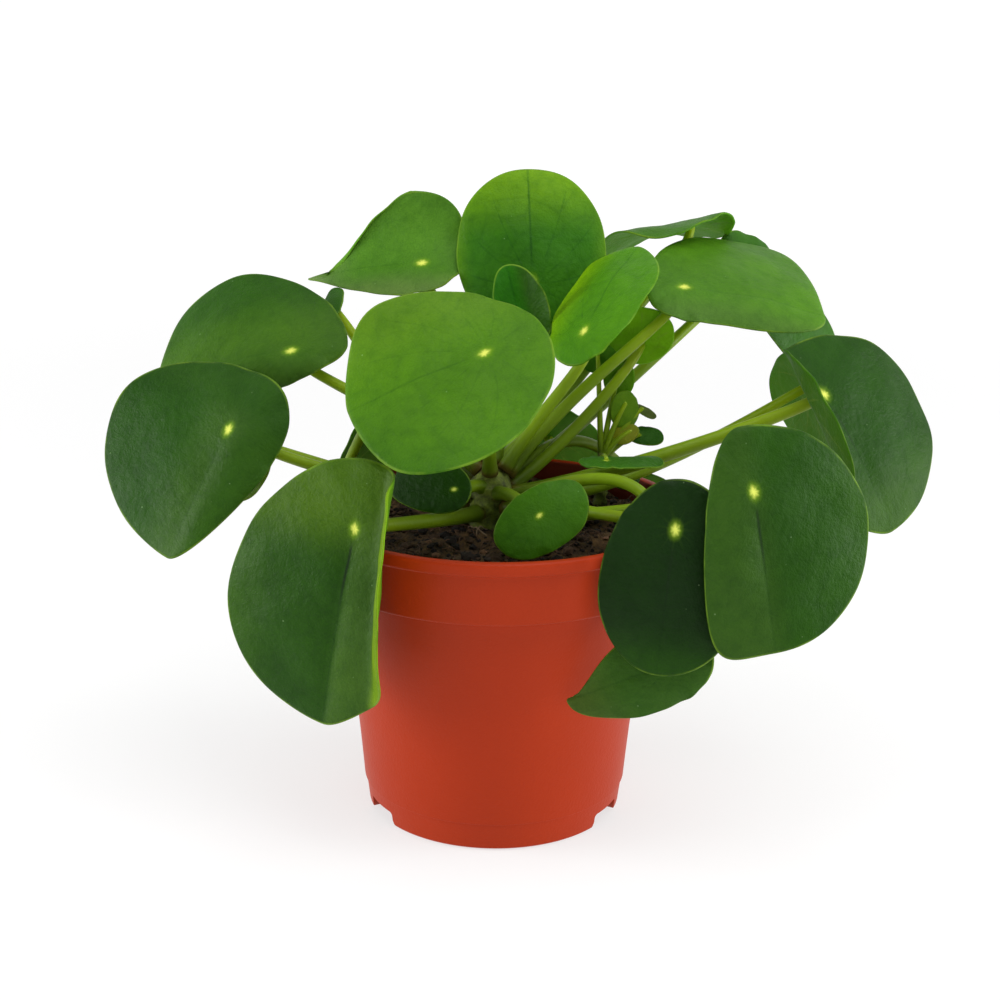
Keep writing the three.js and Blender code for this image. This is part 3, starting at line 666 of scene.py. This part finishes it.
def cut_out(piece, near, far, degrees):
    """Cuts the solid between two outlines, turned about the pot's axis, out of a piece."""
    count = len(near)
    faces = [tuple(range(count - 1, -1, -1)), tuple(range(count, 2 * count))]
    faces += [(i, (i + 1) % count, count + (i + 1) % count, count + i) for i in range(count)]
    angle = degrees * DEGREE
    points = [(x * math.cos(angle) - y * math.sin(angle), x * math.sin(angle) + y * math.cos(angle), z)
              for x, y, z in near + far]
    cutter = mesh_object("cutter", points, faces, smooth=False)
    modifier = piece.modifiers.new("cut", "BOOLEAN")
    modifier.operation = "DIFFERENCE"
    modifier.solver = "EXACT"
    modifier.object = cutter
    bpy.context.view_layer.update()
    evaluated = piece.evaluated_get(bpy.context.evaluated_depsgraph_get())
    mesh = bpy.data.meshes.new_from_object(evaluated)
    piece.modifiers.clear()
    old = piece.data
    piece.data = mesh
    bpy.data.meshes.remove(old)
    mesh.name = piece.name
    bpy.data.objects.remove(cutter)


def notch_outline():
    """A notch of the foot in x and z: flared at the bottom, with rounded upper corners."""
    wide = NOTCH_WIDTH / 2
    outline = [(-wide - NOTCH_FLARE, -1), (wide + NOTCH_FLARE, -1), (wide + EDGE_EASE, EDGE_EASE),
               (wide, NOTCH_FLARE)]
    outline += [(wide - NOTCH_CORNER + NOTCH_CORNER * math.cos(a),
                 NOTCH_HEIGHT - NOTCH_CORNER + NOTCH_CORNER * math.sin(a))
                for a in np.linspace(0, math.pi / 2, 6)]
    return outline + [(-x, z) for x, z in reversed(outline[2:])]


def build_pot():
    """The pot, turned from its section, with the foot's notches and the drain holes cut out."""
    pot = mesh_object("nursery_pot", *lathe(pot_profile(), POT_SIDES))
    notch = notch_outline()
    for degrees in FOOT_NOTCHES:
        near, far = ([(x, side * NOTCH_REACH - FOOT_RADIUS, z) for x, z in notch] for side in (1, -1))
        cut_out(pot, near, far, degrees)
    for hole in range(DRAIN_HOLES):
        near, far = (level_ring(DRAIN_RADIUS, z, DRAIN_SIDES, DRAIN_CIRCLE)
                     for z in (FOOT_HEIGHT - 2, FOOT_HEIGHT + 3 * POT_WALL))
        cut_out(pot, near, far, 360 * hole / DRAIN_HOLES)
    pot.data.set_sharp_from_angle(angle=SHARP_EDGE * DEGREE)
    pot.data.materials.clear()
    pot.data.materials.append(MATERIALS["pot"])
    # The points that face inwards are where the material paints shade on the inner wall.
    store(pot, "pot_inner_wall_shade", facing_inwards(pot.data))
    settle(pot, "pot_plastic", "pot")


def facing_inwards(mesh):
    """Which points of a mesh face the pot's axis: those of the inner wall, where shade is painted."""
    outward = np.array([point.co[:2] for point in mesh.vertices]) - AXIS[:2]
    outward /= np.maximum(np.linalg.norm(outward, axis=1, keepdims=True), 1e-6)
    normals = np.array([point.normal[:2] for point in mesh.vertices])
    return np.sum(outward * normals, axis=1) < -0.6


# The soil

def soil_height(x, y):
    """The lumpy top of the soil."""
    lump = np.sin(x * 0.31 + 1) * np.cos(y * 0.27) + 0.6 * np.sin(x * 0.13 - y * 0.22)
    fine = np.sin(x * 1.3 + 2 * np.sin(y * 0.9)) * np.sin(y * 1.1 + 2 * np.sin(x * 0.7))
    return SOIL_TOP + SOIL_BUMP * lump * 0.8 + 0.5 * fine


def build_soil():
    """The soil: a lumpy top that goes down inside the pot as one closed cake, and what lies on it."""
    edge = COLLAR_RADIUS - POT_WALL - SEAT_GAP
    floor = FOOT_HEIGHT + POT_WALL + SEAT_GAP
    points = [(0, 0, float(soil_height(0, 0)))]
    for step in range(1, SOIL_RINGS + 1):
        x, y, _ = np.transpose(level_ring(edge * step / SOIL_RINGS, 0, SOIL_SIDES))
        points.extend(zip(x, y, soil_height(x, y)))
    for radius, z in ((edge, COLLAR_BOTTOM + STEP_RISE + 2 * SEAT_GAP),
                      (body_radius(COLLAR_BOTTOM) - POT_WALL - SEAT_GAP, COLLAR_BOTTOM),
                      (body_radius(floor) - POT_WALL - SEAT_GAP, floor)):
        points.extend(level_ring(radius, z, SOIL_SIDES))
    points.append((0, 0, floor))
    faces = ring_faces(SOIL_RINGS + 3, SOIL_SIDES, downwards=True)
    build_piece("soil_cake", points, faces, "soil", "potting_soil", "soil")
    build_crumbs()
    build_fibres()


def crumb_shape():
    """The points and faces of a ball with 20 sides, which each crumb distorts."""
    ball = bmesh.new()
    bmesh.ops.create_icosphere(ball, subdivisions=1, radius=1)
    points = np.array([v.co[:] for v in ball.verts])
    faces = [tuple(v.index for v in f.verts) for f in ball.faces]
    ball.free()
    return points, faces


def soil_spot(draw, margin):
    """A random place on the soil, this far inside the collar."""
    reach = COLLAR_RADIUS - margin
    while True:
        x = draw.uniform(-1, 1) * reach
        y = draw.uniform(-1, 1) * reach
        if math.hypot(x, y) < reach:
            return x, y


def build_crumbs():
    """Rough crumbs of all sizes that lie on the soil."""
    draw = random.Random(7)
    shape, shape_faces = crumb_shape()
    parts = ([], [], [])
    for _ in range(CRUMBS):
        x, y = soil_spot(draw, 3.2)
        size = min(LARGEST_CRUMB, 0.35 + draw.expovariate(2.2))
        stretch = np.array([draw.uniform(0.7, 1.5), draw.uniform(0.7, 1.3), draw.uniform(0.5, 0.9)]) * size
        rough = np.array([draw.uniform(0.75, 1.15) for _ in range(len(shape))])[:, None]
        turn = np.array(Matrix.Rotation(draw.uniform(0, 6.28), 3, "Z"))
        lump = (shape * rough * stretch) @ turn.T
        middle = np.array([x, y, float(soil_height(x, y)) + 0.25 * size])
        join(parts, lump + middle, [draw.random()] * len(shape), shape_faces)
    build_piece("soil_crumbs", parts[0], parts[2], "crumbs", "potting_soil", smooth=False,
                crumb_tint=parts[1])


def build_fibres():
    """Thin fibres of peat that lie on the soil in short curves."""
    draw = random.Random(11)
    steps = 6
    parts = ([], [], [])
    for _ in range(FIBRES):
        x, y = soil_spot(draw, 8)
        way = draw.uniform(0, 6.28)
        bend = draw.uniform(-0.35, 0.35)
        line = []
        length = draw.uniform(3, 9)
        lift = draw.uniform(0.2, 1.4)
        for k in range(steps + 1):
            height = float(soil_height(x, y)) + 0.35 + lift * math.sin(math.pi * k / steps)
            line.append((x, y, height))
            x += math.cos(way) * length / steps
            y += math.sin(way) * length / steps
            way += bend
        points, _, faces = tube(line, [draw.uniform(0.1, 0.28)] * (steps + 1), 5)
        join(parts, points, [draw.random()] * len(points), faces)
    build_piece("soil_fibres", parts[0], parts[2], "fibres", "potting_soil", crumb_tint=parts[1])


# The trunk

def build_trunk():
    """The short woody stem, with rings of old leaf scars and a knobbly top."""
    bottom = SOIL_TOP - TRUNK.depth
    angles = 2 * np.pi * np.arange(TRUNK_SIDES) / TRUNK_SIDES
    points = [(TRUNK.x, TRUNK.y, bottom)]
    for z in np.linspace(bottom, TRUNK.top, TRUNK_RINGS):
        from_top = (TRUNK.top - z) / TRUNK.radius
        dome = math.sqrt(max(0.0, 1 - max(0.0, 1 - from_top) ** 2))
        foot = 0.75 + 0.25 * min(1, (z - bottom) / (TRUNK.depth - 4))
        ring = 1 - 0.05 * (0.5 + 0.5 * math.sin(z * 2.4)) ** 3
        knobs = 1 + 0.06 * np.sin(5 * angles + z * 1.1) + 0.03 * np.sin(11 * angles - z * 1.7)
        radius = TRUNK.radius * 0.97 * max(0.06, dome) * foot * ring * knobs
        points.extend(level_ring(radius, z, TRUNK_SIDES, TRUNK.x, TRUNK.y))
    points.append((TRUNK.x, TRUNK.y, TRUNK.top))
    faces = ring_faces(TRUNK_RINGS, TRUNK_SIDES)
    build_piece("trunk_stem", points, faces, "trunk", "trunk_bark", "trunk")
    build_scales()


def scale_points(start, way, across, lean, length):
    """Four points for each step along one thin scale, which narrows to its tip."""
    points = []
    for k in range(SCALE_STEPS + 1):
        t = k / SCALE_STEPS
        middle = start + way * length * t * 0.7 + lean * length * 0.45 * t
        half = 1.3 * (1 - t) ** 0.8 + 0.06
        points.append(middle - across * half)
        points.append(middle + np.array([0, 0, 0.35 * (1 - t) + 0.1]))
        points.append(middle + across * half)
        points.append(middle - np.array([0, 0, 0.1]))
    return points


def build_scales():
    """The small brown scales that stay where each stalk leaves the trunk."""
    draw = random.Random(5)
    shape_faces = [(4 * k + c, 4 * k + 4 + c, 4 * k + 4 + (c + 1) % 4, 4 * k + (c + 1) % 4)
                   for k in range(SCALE_STEPS) for c in range(4)]
    shape_faces += [(0, 1, 2, 3), tuple(4 * SCALE_STEPS + c for c in (3, 2, 1, 0))]
    parts = ([], [], [])
    for leaf in LEAVES.values():
        line = stalk_points(leaf, 20)
        root, out = line[0], line[4]
        way = unit(out - root)
        across = unit(np.cross(way, (0, 0, 1)))
        for side in (-1, 1):
            start = root + way * TRUNK.radius * 0.9 + across * side * 1.6 - np.array([0, 0, 0.8])
            lean = np.array([draw.uniform(-0.3, 0.3), draw.uniform(-0.3, 0.3), 1.0])
            points = scale_points(start, way, across, lean, draw.uniform(3.5, 6.5))
            join(parts, points, (), shape_faces)
    build_piece("trunk_scales", parts[0], parts[2], "scales", "trunk_bark")


# The offset plant

def build_offset_plant():
    """The young plant beside the trunk: a thin stem, its stalks and its small round leaves."""
    heights = np.linspace(SOIL_TOP - OFFSET_STEM.depth, OFFSET_STEM.top, 30)
    narrowing = [1] * 27 + [0.9, 0.65, 0.4]
    radii = [OFFSET_STEM.radius * (0.85 + 0.15 * math.sin(z * 1.8)) * share
             for z, share in zip(heights, narrowing)]
    points, _, faces = tube([(OFFSET_STEM.x, OFFSET_STEM.y, z) for z in heights], radii, STALK_SIDES)
    build_piece("offset_stem", points, faces, "trunk", "trunk_bark", "offset_plant")
    stalks = ([], [], [])
    for number, leaf in enumerate(OFFSET_LEAVES):
        _, _, normal, _ = leaf_axes(leaf)
        top = np.array(leaf.spot, float) + normal * 0.2
        root = np.array([OFFSET_STEM.x, OFFSET_STEM.y, OFFSET_STEM.top - 3], float)
        bow = (root + top) / 2 + np.array([0, 0, 3.0])
        t = np.linspace(0, 1, 19)[:, None]
        line = (1 - t) ** 2 * root + 2 * t * (1 - t) * bow + t * t * top
        join(stalks, *tube(line, np.linspace(1.1, 0.7, len(t)), 12))
        mesh = blade_mesh(leaf, OFFSET_COLUMNS, OFFSET_ROWS, 0.9 * number, 0.8)
        blade_piece(f"offset_leaf_{number + 1}", "offset_plant", leaf, mesh)
    build_piece("offset_stalks", stalks[0], stalks[2], "stalk", "leaf_stalk", "offset_plant",
                stalk_share=stalks[1])


# Materials

class Nodes:
    """A node tree, with short names for the nodes that it is made of."""

    def __init__(self, tree):
        self.tree = tree

    def put(self, socket, value):
        """Links a node's output to a socket, or sets a plain value on it."""
        if isinstance(value, bpy.types.NodeSocket):
            self.tree.links.new(value, socket)
        else:
            socket.default_value = value

    def node(self, kind, values, **settings):
        """The outputs of a new node with these settings and with these values on its inputs."""
        node = self.tree.nodes.new(f"ShaderNode{kind}")
        for name, value in settings.items():
            setattr(node, name, value)
        for name, value in values.items():
            self.put(node.inputs[name], value)
        return node.outputs

    def math(self, operation, a, b=0.0):
        return self.node("Math", {0: a, 1: b}, operation=operation)[0]

    def plus(self, a, b):
        return self.math("ADD", a, b)

    def minus(self, a, b):
        return self.math("SUBTRACT", a, b)

    def times(self, a, b):
        return self.math("MULTIPLY", a, b)

    def size(self, a):
        return self.math("ABSOLUTE", a)

    def hypot(self, a, b):
        return self.math("SQRT", self.plus(self.times(a, a), self.times(b, b)))

    def split(self, vector):
        return self.node("SeparateXYZ", {0: vector})


class Shader(Nodes):
    """The nodes of one new material."""

    def __init__(self, name):
        self.material = bpy.data.materials.new(name)
        self.material.use_nodes = True
        super().__init__(self.material.node_tree)
        self.tree.nodes.clear()

    def finish(self, colour, roughness, relief=None, depth=0.0, specular=0.5, **more):
        """Ends the material in its surface, whose relief is a bump of this depth in metres."""
        values = {"Base Color": colour, "Roughness": roughness, "Specular IOR Level": specular, **more}
        if relief is not None:
            values["Normal"] = self.node("Bump", {"Distance": depth, "Height": relief})[0]
        self.node("OutputMaterial", {0: self.node("BsdfPrincipled", values)[0]})
        return self.material

    def attribute(self, name, output="Fac"):
        return self.node("Attribute", {}, attribute_name=name)[output]

    def place(self):
        """The point in object space, in metres."""
        return self.node("TexCoord", {})["Object"]

    def band(self, value, low, high):
        """0 at low, 1 at high, smooth between them."""
        values = {"Value": value, "From Min": low, "From Max": high}
        return self.node("MapRange", values, interpolation_type="SMOOTHSTEP")[0]

    def mix(self, share, a, b, how="MIX"):
        """The colour a, with b blended over it as far as the share says."""
        values = {0: share, 6: self.colour(a), 7: self.colour(b)}
        return self.node("Mix", values, data_type="RGBA", blend_type=how)[2]

    def tint(self, share, colour, factors):
        """The colour multiplied by these factors, as far as the share says."""
        return self.mix(share, colour, self.mix(1.0, colour, factors, "MULTIPLY"))

    def colour(self, value):
        """A link as it is, or red, green and blue with the alpha that a socket wants."""
        return value if isinstance(value, bpy.types.NodeSocket) else (*value, 1.0)

    def noise(self, scale, detail=3.0, roughness=0.55, where=None):
        """Cloudy noise over a place, which is the point in object space if none is given."""
        where = self.place() if where is None else where
        values = {"Vector": where, "Scale": scale, "Detail": detail, "Roughness": roughness}
        return self.node("TexNoise", values)[0]

    def cells(self, where, scale, feature="DISTANCE_TO_EDGE"):
        """The distance to the nearest edge, or with F1 the nearest middle, in a pattern of cells."""
        return self.node("TexVoronoi", {"Vector": where, "Scale": scale}, feature=feature)[0]


def leaf_marks(s):
    """What a blade's colours follow: p runs towards the tip, q to the right and rho to the margin."""
    m = SimpleNamespace()
    m.p, m.q, m.rho = s.split(s.attribute("leaf_place", "Vector"))
    m.flat = s.node("CombineXYZ", {0: m.p, 1: m.q})[0]
    m.theta = s.math("ARCTAN2", m.q, m.p)
    # The tone holds the leaf's painted light and shade.
    m.tone = s.attribute("leaf_tone", "Vector")
    m.from_spot = s.attribute("leaf_spot")
    m.strength = s.attribute("leaf_veins")
    m.mottle = s.noise(0.16, 5.0, 0.65, m.flat)
    m.grain = s.noise(1.6, 3.0, 0.6, m.flat)
    radius = s.hypot(m.p, m.q)
    curl = s.times(s.times(radius, VEIN_CURL), s.math("SINE", m.theta))
    spokes = s.times(s.plus(m.theta, curl), VEIN_SPOKES / (2 * math.pi))
    to_line = s.minus(0.5, s.size(s.minus(s.math("FRACT", spokes), 0.5)))
    away = s.times(to_line, s.times(radius, 2 * math.pi / VEIN_SPOKES))
    wander = s.times(s.minus(s.noise(0.22, where=m.flat), 0.5), 1.8)
    m.near_vein = s.size(s.plus(away, wander))
    grown = s.times(s.band(radius, 3.0, 9.0), s.band(m.rho, 0.96, 0.75))
    m.vein = s.times(s.band(m.near_vein, 0.42, 0.05), grown)
    warped = s.mix(0.5, m.flat, s.mix(1.0, m.flat, s.noise(0.15, where=m.flat), "ADD"))
    m.net = s.times(s.band(s.cells(warped, 0.11), 0.10, 0.0), s.band(m.rho, 0.97, 0.85))
    return m


def leaf_green(s, m):
    """The green of the upper side: the leaf's tone with its painted light and shade, mottled, with dark
    veins and midrib, and a painted shade line in the crease below the spot.
    """
    broad = s.band(s.noise(0.035, 3.0, 0.5, m.flat), 0.3, 0.7)
    fine_net = s.band(s.cells(m.flat, 0.5), 0.12, 0.0)
    midrib = s.times(s.band(s.size(m.q), 0.7, 0.1), s.band(m.p, 2.0, 8.0))
    specks = s.band(s.cells(m.flat, 0.13, "F1"), 0.042, 0.02)
    along_crease = s.times(s.band(m.p, 3.5, 7.0), s.band(m.p, 26.0, 14.0))
    crease_shade_line = s.times(s.band(s.size(m.q), 0.7, 0.05), along_crease)
    green = s.mix(broad, s.mix(1.0, m.tone, (0.84, 0.88, 0.84), "MULTIPLY"),
                  s.mix(1.0, m.tone, (1.14, 1.10, 1.10), "MULTIPLY"))
    green = s.tint(s.band(m.mottle, 0.42, 0.68), green, (0.80, 0.86, 0.8))
    green = s.tint(s.band(m.grain, 0.4, 0.75), green, (0.82, 0.87, 0.8))
    green = s.tint(s.times(m.net, s.times(m.strength, 0.5)), green, (0.60, 0.72, 0.6))
    green = s.tint(s.times(fine_net, 0.16), green, (0.68, 0.76, 0.6))
    green = s.tint(s.times(m.vein, m.strength), green, (0.58, 0.72, 0.6))
    green = s.tint(s.times(midrib, m.strength), green, (0.55, 0.70, 0.6))
    green = s.mix(s.times(specks, 0.7), green, s.mix(1.0, green, (0.12, 0.17, 0.09), "ADD"))
    # painted shade: a dark line in the crease below the spot, as strong as the leaf's crease value.
    crease_shade_share = s.times(s.times(crease_shade_line, s.attribute("leaf_crease")), 0.85)
    return s.mix(crease_shade_share, green, (0.008, 0.020, 0.006))


def with_spot(s, m, green):
    """The upper side with its yellow spot, the paler green round that, and a painted highlight along
    the margin.
    """
    rays = s.times(s.band(m.near_vein, 0.5, 0.1), s.band(m.from_spot, 7.5, 1.5))
    green = s.mix(s.times(rays, 0.03), green, (0.14, 0.30, 0.01))
    green = s.mix(s.times(s.band(m.from_spot, 2.8, 0.5), 0.65), green, (0.19, 0.36, 0.008))
    ragged = s.plus(m.from_spot, s.times(s.math("SINE", s.times(m.theta, 7)), 0.12))
    green = s.mix(s.band(ragged, 1.75, 0.3), green, (0.68, 0.74, 0.12))
    # painted highlight: a pale line along the margin
    edge = s.times(s.band(m.rho, 0.984, 0.997), s.band(s.noise(0.09, where=m.flat), 0.35, 0.65))
    return s.mix(s.times(edge, 0.7), green, (0.15, 0.27, 0.015))


def leaf_material():
    """A soft-shining leaf: its green above, holding painted light and shade, with veins and a yellow spot,
    and paler and duller below.
    """
    s = Shader("leaf_blade_green")
    m = leaf_marks(s)
    under = s.attribute("leaf_under")
    dull = s.mix(0.45, s.mix(1.0, m.tone, (1.7, 1.7, 1.2), "MULTIPLY"), (0.072, 0.210, 0.004))
    dull = s.mix(s.times(m.vein, 0.35), dull, (0.17, 0.28, 0.03))
    dull = s.mix(s.times(m.net, 0.15), dull, (0.13, 0.23, 0.02))
    dull = s.tint(s.times(m.mottle, 0.4), dull, (0.6, 0.7, 0.6))
    colour = s.mix(s.band(under, 0.3, 0.7), with_spot(s, m, leaf_green(s, m)), dull)
    rough = s.plus(s.plus(s.times(m.grain, 0.12), s.times(under, 0.18)), s.times(m.mottle, 0.12))
    relief = s.minus(s.noise(0.38, 5.0, 0.65, m.flat), s.times(m.net, 0.06))
    return s.finish(colour, s.plus(rough, 0.33), s.plus(relief, s.times(m.grain, 0.25)), 0.0005, 0.11)


def stalk_material():
    """A juicy stalk: darker olive near the trunk, which is painted shade, bright yellow-green along it,
    with faint long streaks.
    """
    s = Shader("leaf_stalk_green")
    share = s.attribute("stalk_share")
    streak = s.noise(260.0, 4.0, 0.6)
    blotch = s.band(s.noise(60.0, 3.0, 0.5), 0.55, 0.7)
    # painted shade: the stalk is darker olive towards the trunk, near the crown where it lies in shade
    colour = s.mix(s.band(share, 0.0, 0.35), (0.070, 0.120, 0.003), (0.165, 0.265, 0.005))
    colour = s.mix(s.band(share, 0.5, 1.0), colour, (0.250, 0.360, 0.006))
    colour = s.tint(s.times(streak, 0.5), colour, (0.75, 0.82, 0.55))
    colour = s.mix(s.times(blotch, 0.2), colour, (0.14, 0.13, 0.012))
    colour = s.mix(s.band(share, 0.05, 0.0), colour, (0.10, 0.07, 0.012))
    return s.finish(colour, s.plus(s.times(streak, 0.18), 0.34), streak, 0.0003, 0.16)


def pot_material():
    """Smooth moulded plastic in orange-red: faint mottling, fine grain, and painted shade darkening
    the inner wall.
    """
    s = Shader("pot_plastic_red")
    cloud = s.noise(22.0, 4.0, 0.55)
    grain = s.noise(1400.0, 2.0, 0.5)
    colour = s.mix(cloud, (0.345, 0.024, 0.001), (0.385, 0.029, 0.001))
    colour = s.mix(s.times(grain, 0.2), colour, (0.315, 0.021, 0.001))
    # painted shade darkens the inner wall, which faces the axis
    colour = s.mix(s.times(s.attribute("pot_inner_wall_shade"), 0.8), colour, (0.060, 0.010, 0.004))
    relief = s.plus(grain, s.times(s.noise(160.0), 1.2))
    return s.finish(colour, s.plus(s.times(cloud, 0.10), 0.42), relief, 0.00010, 0.16)


def soil_material():
    """Dark peat with paler lumps."""
    s = Shader("potting_soil_dark")
    lumps = s.noise(260.0, 6.0, 0.7)
    colour = s.mix(s.band(lumps, 0.3, 0.7), (0.010, 0.006, 0.003), (0.150, 0.080, 0.024))
    return s.finish(colour, 0.95, lumps, 0.0025)


def tinted_material(name, dark, middle, light, roughness):
    """Crumbs and fibres: each one has a tint of its own."""
    s = Shader(name)
    tint = s.attribute("crumb_tint")
    rough = s.noise(900.0, 4.0, 0.6)
    colour = s.mix(s.band(tint, 0.35, 0.85), dark, middle)
    colour = s.mix(s.band(tint, 0.9, 1.0), colour, light)
    colour = s.mix(s.times(rough, 0.6), colour, dark)
    return s.finish(colour, roughness, rough, 0.0006)


def trunk_material():
    """Young bark: green and olive, with brown patches."""
    s = Shader("trunk_bark_brown")
    bark = s.noise(320.0, 5.0, 0.65)
    colour = s.mix(s.band(bark, 0.35, 0.65), (0.040, 0.055, 0.005), (0.150, 0.200, 0.012))
    colour = s.mix(s.band(s.noise(120.0), 0.58, 0.72), colour, (0.10, 0.055, 0.018))
    return s.finish(colour, 0.7, bark, 0.0008)


def scale_material():
    """Dry brown scales."""
    s = Shader("stipule_brown")
    fleck = s.noise(500.0, 4.0, 0.6)
    colour = s.mix(fleck, (0.055, 0.030, 0.012), (0.17, 0.13, 0.04))
    return s.finish(colour, 0.75, fleck, 0.0004)


def floor_material():
    """A matt pale floor that shines by itself, more so far from the pot, where the lamps don't reach."""
    s = Shader("studio_floor_white")
    x, y, _ = s.split(s.place())
    glow = s.times(s.band(s.hypot(x, y), 0.25, 1.6), FAR_GLOW - NEAR_GLOW)
    emission = {"Emission Color": (1.0, 1.0, 1.0, 1.0), "Emission Strength": s.plus(glow, NEAR_GLOW)}
    return s.finish((0.32, 0.32, 0.32, 1.0), 1.0, specular=0.0, **emission)


MATERIALS = dict(
    leaf=leaf_material(), stalk=stalk_material(), pot=pot_material(), soil=soil_material(),
    crumbs=tinted_material("soil_crumbs_brown", (0.009, 0.005, 0.003), (0.080, 0.040, 0.015),
                           (0.24, 0.12, 0.06), 0.95),
    fibres=tinted_material("soil_fibres_brown", (0.05, 0.025, 0.012), (0.13, 0.065, 0.03),
                           (0.32, 0.22, 0.13), 0.85),
    trunk=trunk_material(), scales=scale_material(), floor=floor_material())


# Camera and studio

def build_camera():
    """The camera of the photograph: it looks along +Y and a little down."""
    camera = bpy.data.cameras.new("camera")
    camera.sensor_width = SENSOR
    camera.lens = FOCAL_PIXELS / IMAGE_PIXELS * SENSOR
    camera.clip_end = 1000
    holder = add_object("camera", camera)
    place = Vector(at_frame(CAMERA_PLACE))
    look = Matrix.Rotation(math.radians(90 - CAMERA_PITCH), 4, "X")
    roll = Matrix.Rotation(math.radians(CAMERA_ROLL), 4, "Z")
    holder.matrix_world = Matrix.Translation(place) @ look @ roll
    bpy.context.scene.camera = holder


def area_light(name, place, size, power):
    """A soft lamp that is turned to the middle of the plant."""
    light = bpy.data.lights.new(name, "AREA")
    light.shape = "RECTANGLE"
    light.size, light.size_y = size
    light.energy = power
    holder = add_object(name, light)
    holder.location = Vector(place)
    holder.rotation_euler = (Vector(LIT_POINT) - Vector(place)).to_track_quat("-Z", "Y").to_euler()
    return holder


def build_floor():
    """A pale floor that runs out of sight, just under the pot's foot."""
    mesh = bpy.data.meshes.new("studio_floor")
    wide = FLOOR_HALF
    corners = [(x, y, -FLOOR_DROP) for x, y in ((-wide, -wide), (wide, -wide), (wide, wide), (-wide, wide))]
    mesh.from_pydata(corners, [], [(0, 1, 2, 3)])
    mesh.materials.append(MATERIALS["floor"])
    floor = add_object("studio_floor", mesh)


def build_air():
    """White air that is dim in front, brighter behind the plant, and brightest low round the horizon."""
    world = bpy.data.worlds.new("studio_air")
    bpy.context.scene.world = world
    world.use_nodes = True
    air = world.node_tree.nodes["Background"]
    air.inputs[0].default_value = (1.0, 1.0, 1.0, 1.0)
    n = Nodes(world.node_tree)
    _, ahead, up = n.split(n.node("TexCoord", {})["Generated"])
    behind = n.node("MapRange", {"Value": ahead, "From Min": -0.6, "From Max": 0.7,
                                 "To Min": FRONT_AIR, "To Max": BACK_AIR})[0]
    horizon = n.node("MapRange", {"Value": up, "From Min": 0.2, "From Max": 0.1,
                                  "To Min": FRONT_AIR, "To Max": HORIZON_AIR})[0]
    n.put(air.inputs[1], n.math("MAXIMUM", behind, horizon))


def build_stage():
    """The floor, the air and four soft lamps; no reflection shows the one in front."""
    build_floor()
    build_air()
    area_light("top_light", (0.15, -0.3, 1.1), (0.9, 0.9), 8.6)
    area_light("left_light", (-1.0, -0.1, 0.25), (0.5, 0.5), 7.5)
    area_light("right_light", (1.0, -0.1, 0.25), (0.5, 0.5), 7.0)
    area_light("front_light", (0.35, -1.35, 0.35), (1.4, 1.0), 4.0).visible_glossy = False
    bpy.context.scene.view_settings.view_transform = "Standard"
    bpy.context.scene.view_settings.look = "None"


def main():
    build_camera()
    build_stage()
    build_pot()
    build_soil()
    build_trunk()
    build_offset_plant()
    for number, (name, leaf) in enumerate(LEAVES.items()):
        build_leaf(name, leaf, 1.7 * number + 0.4)


main()
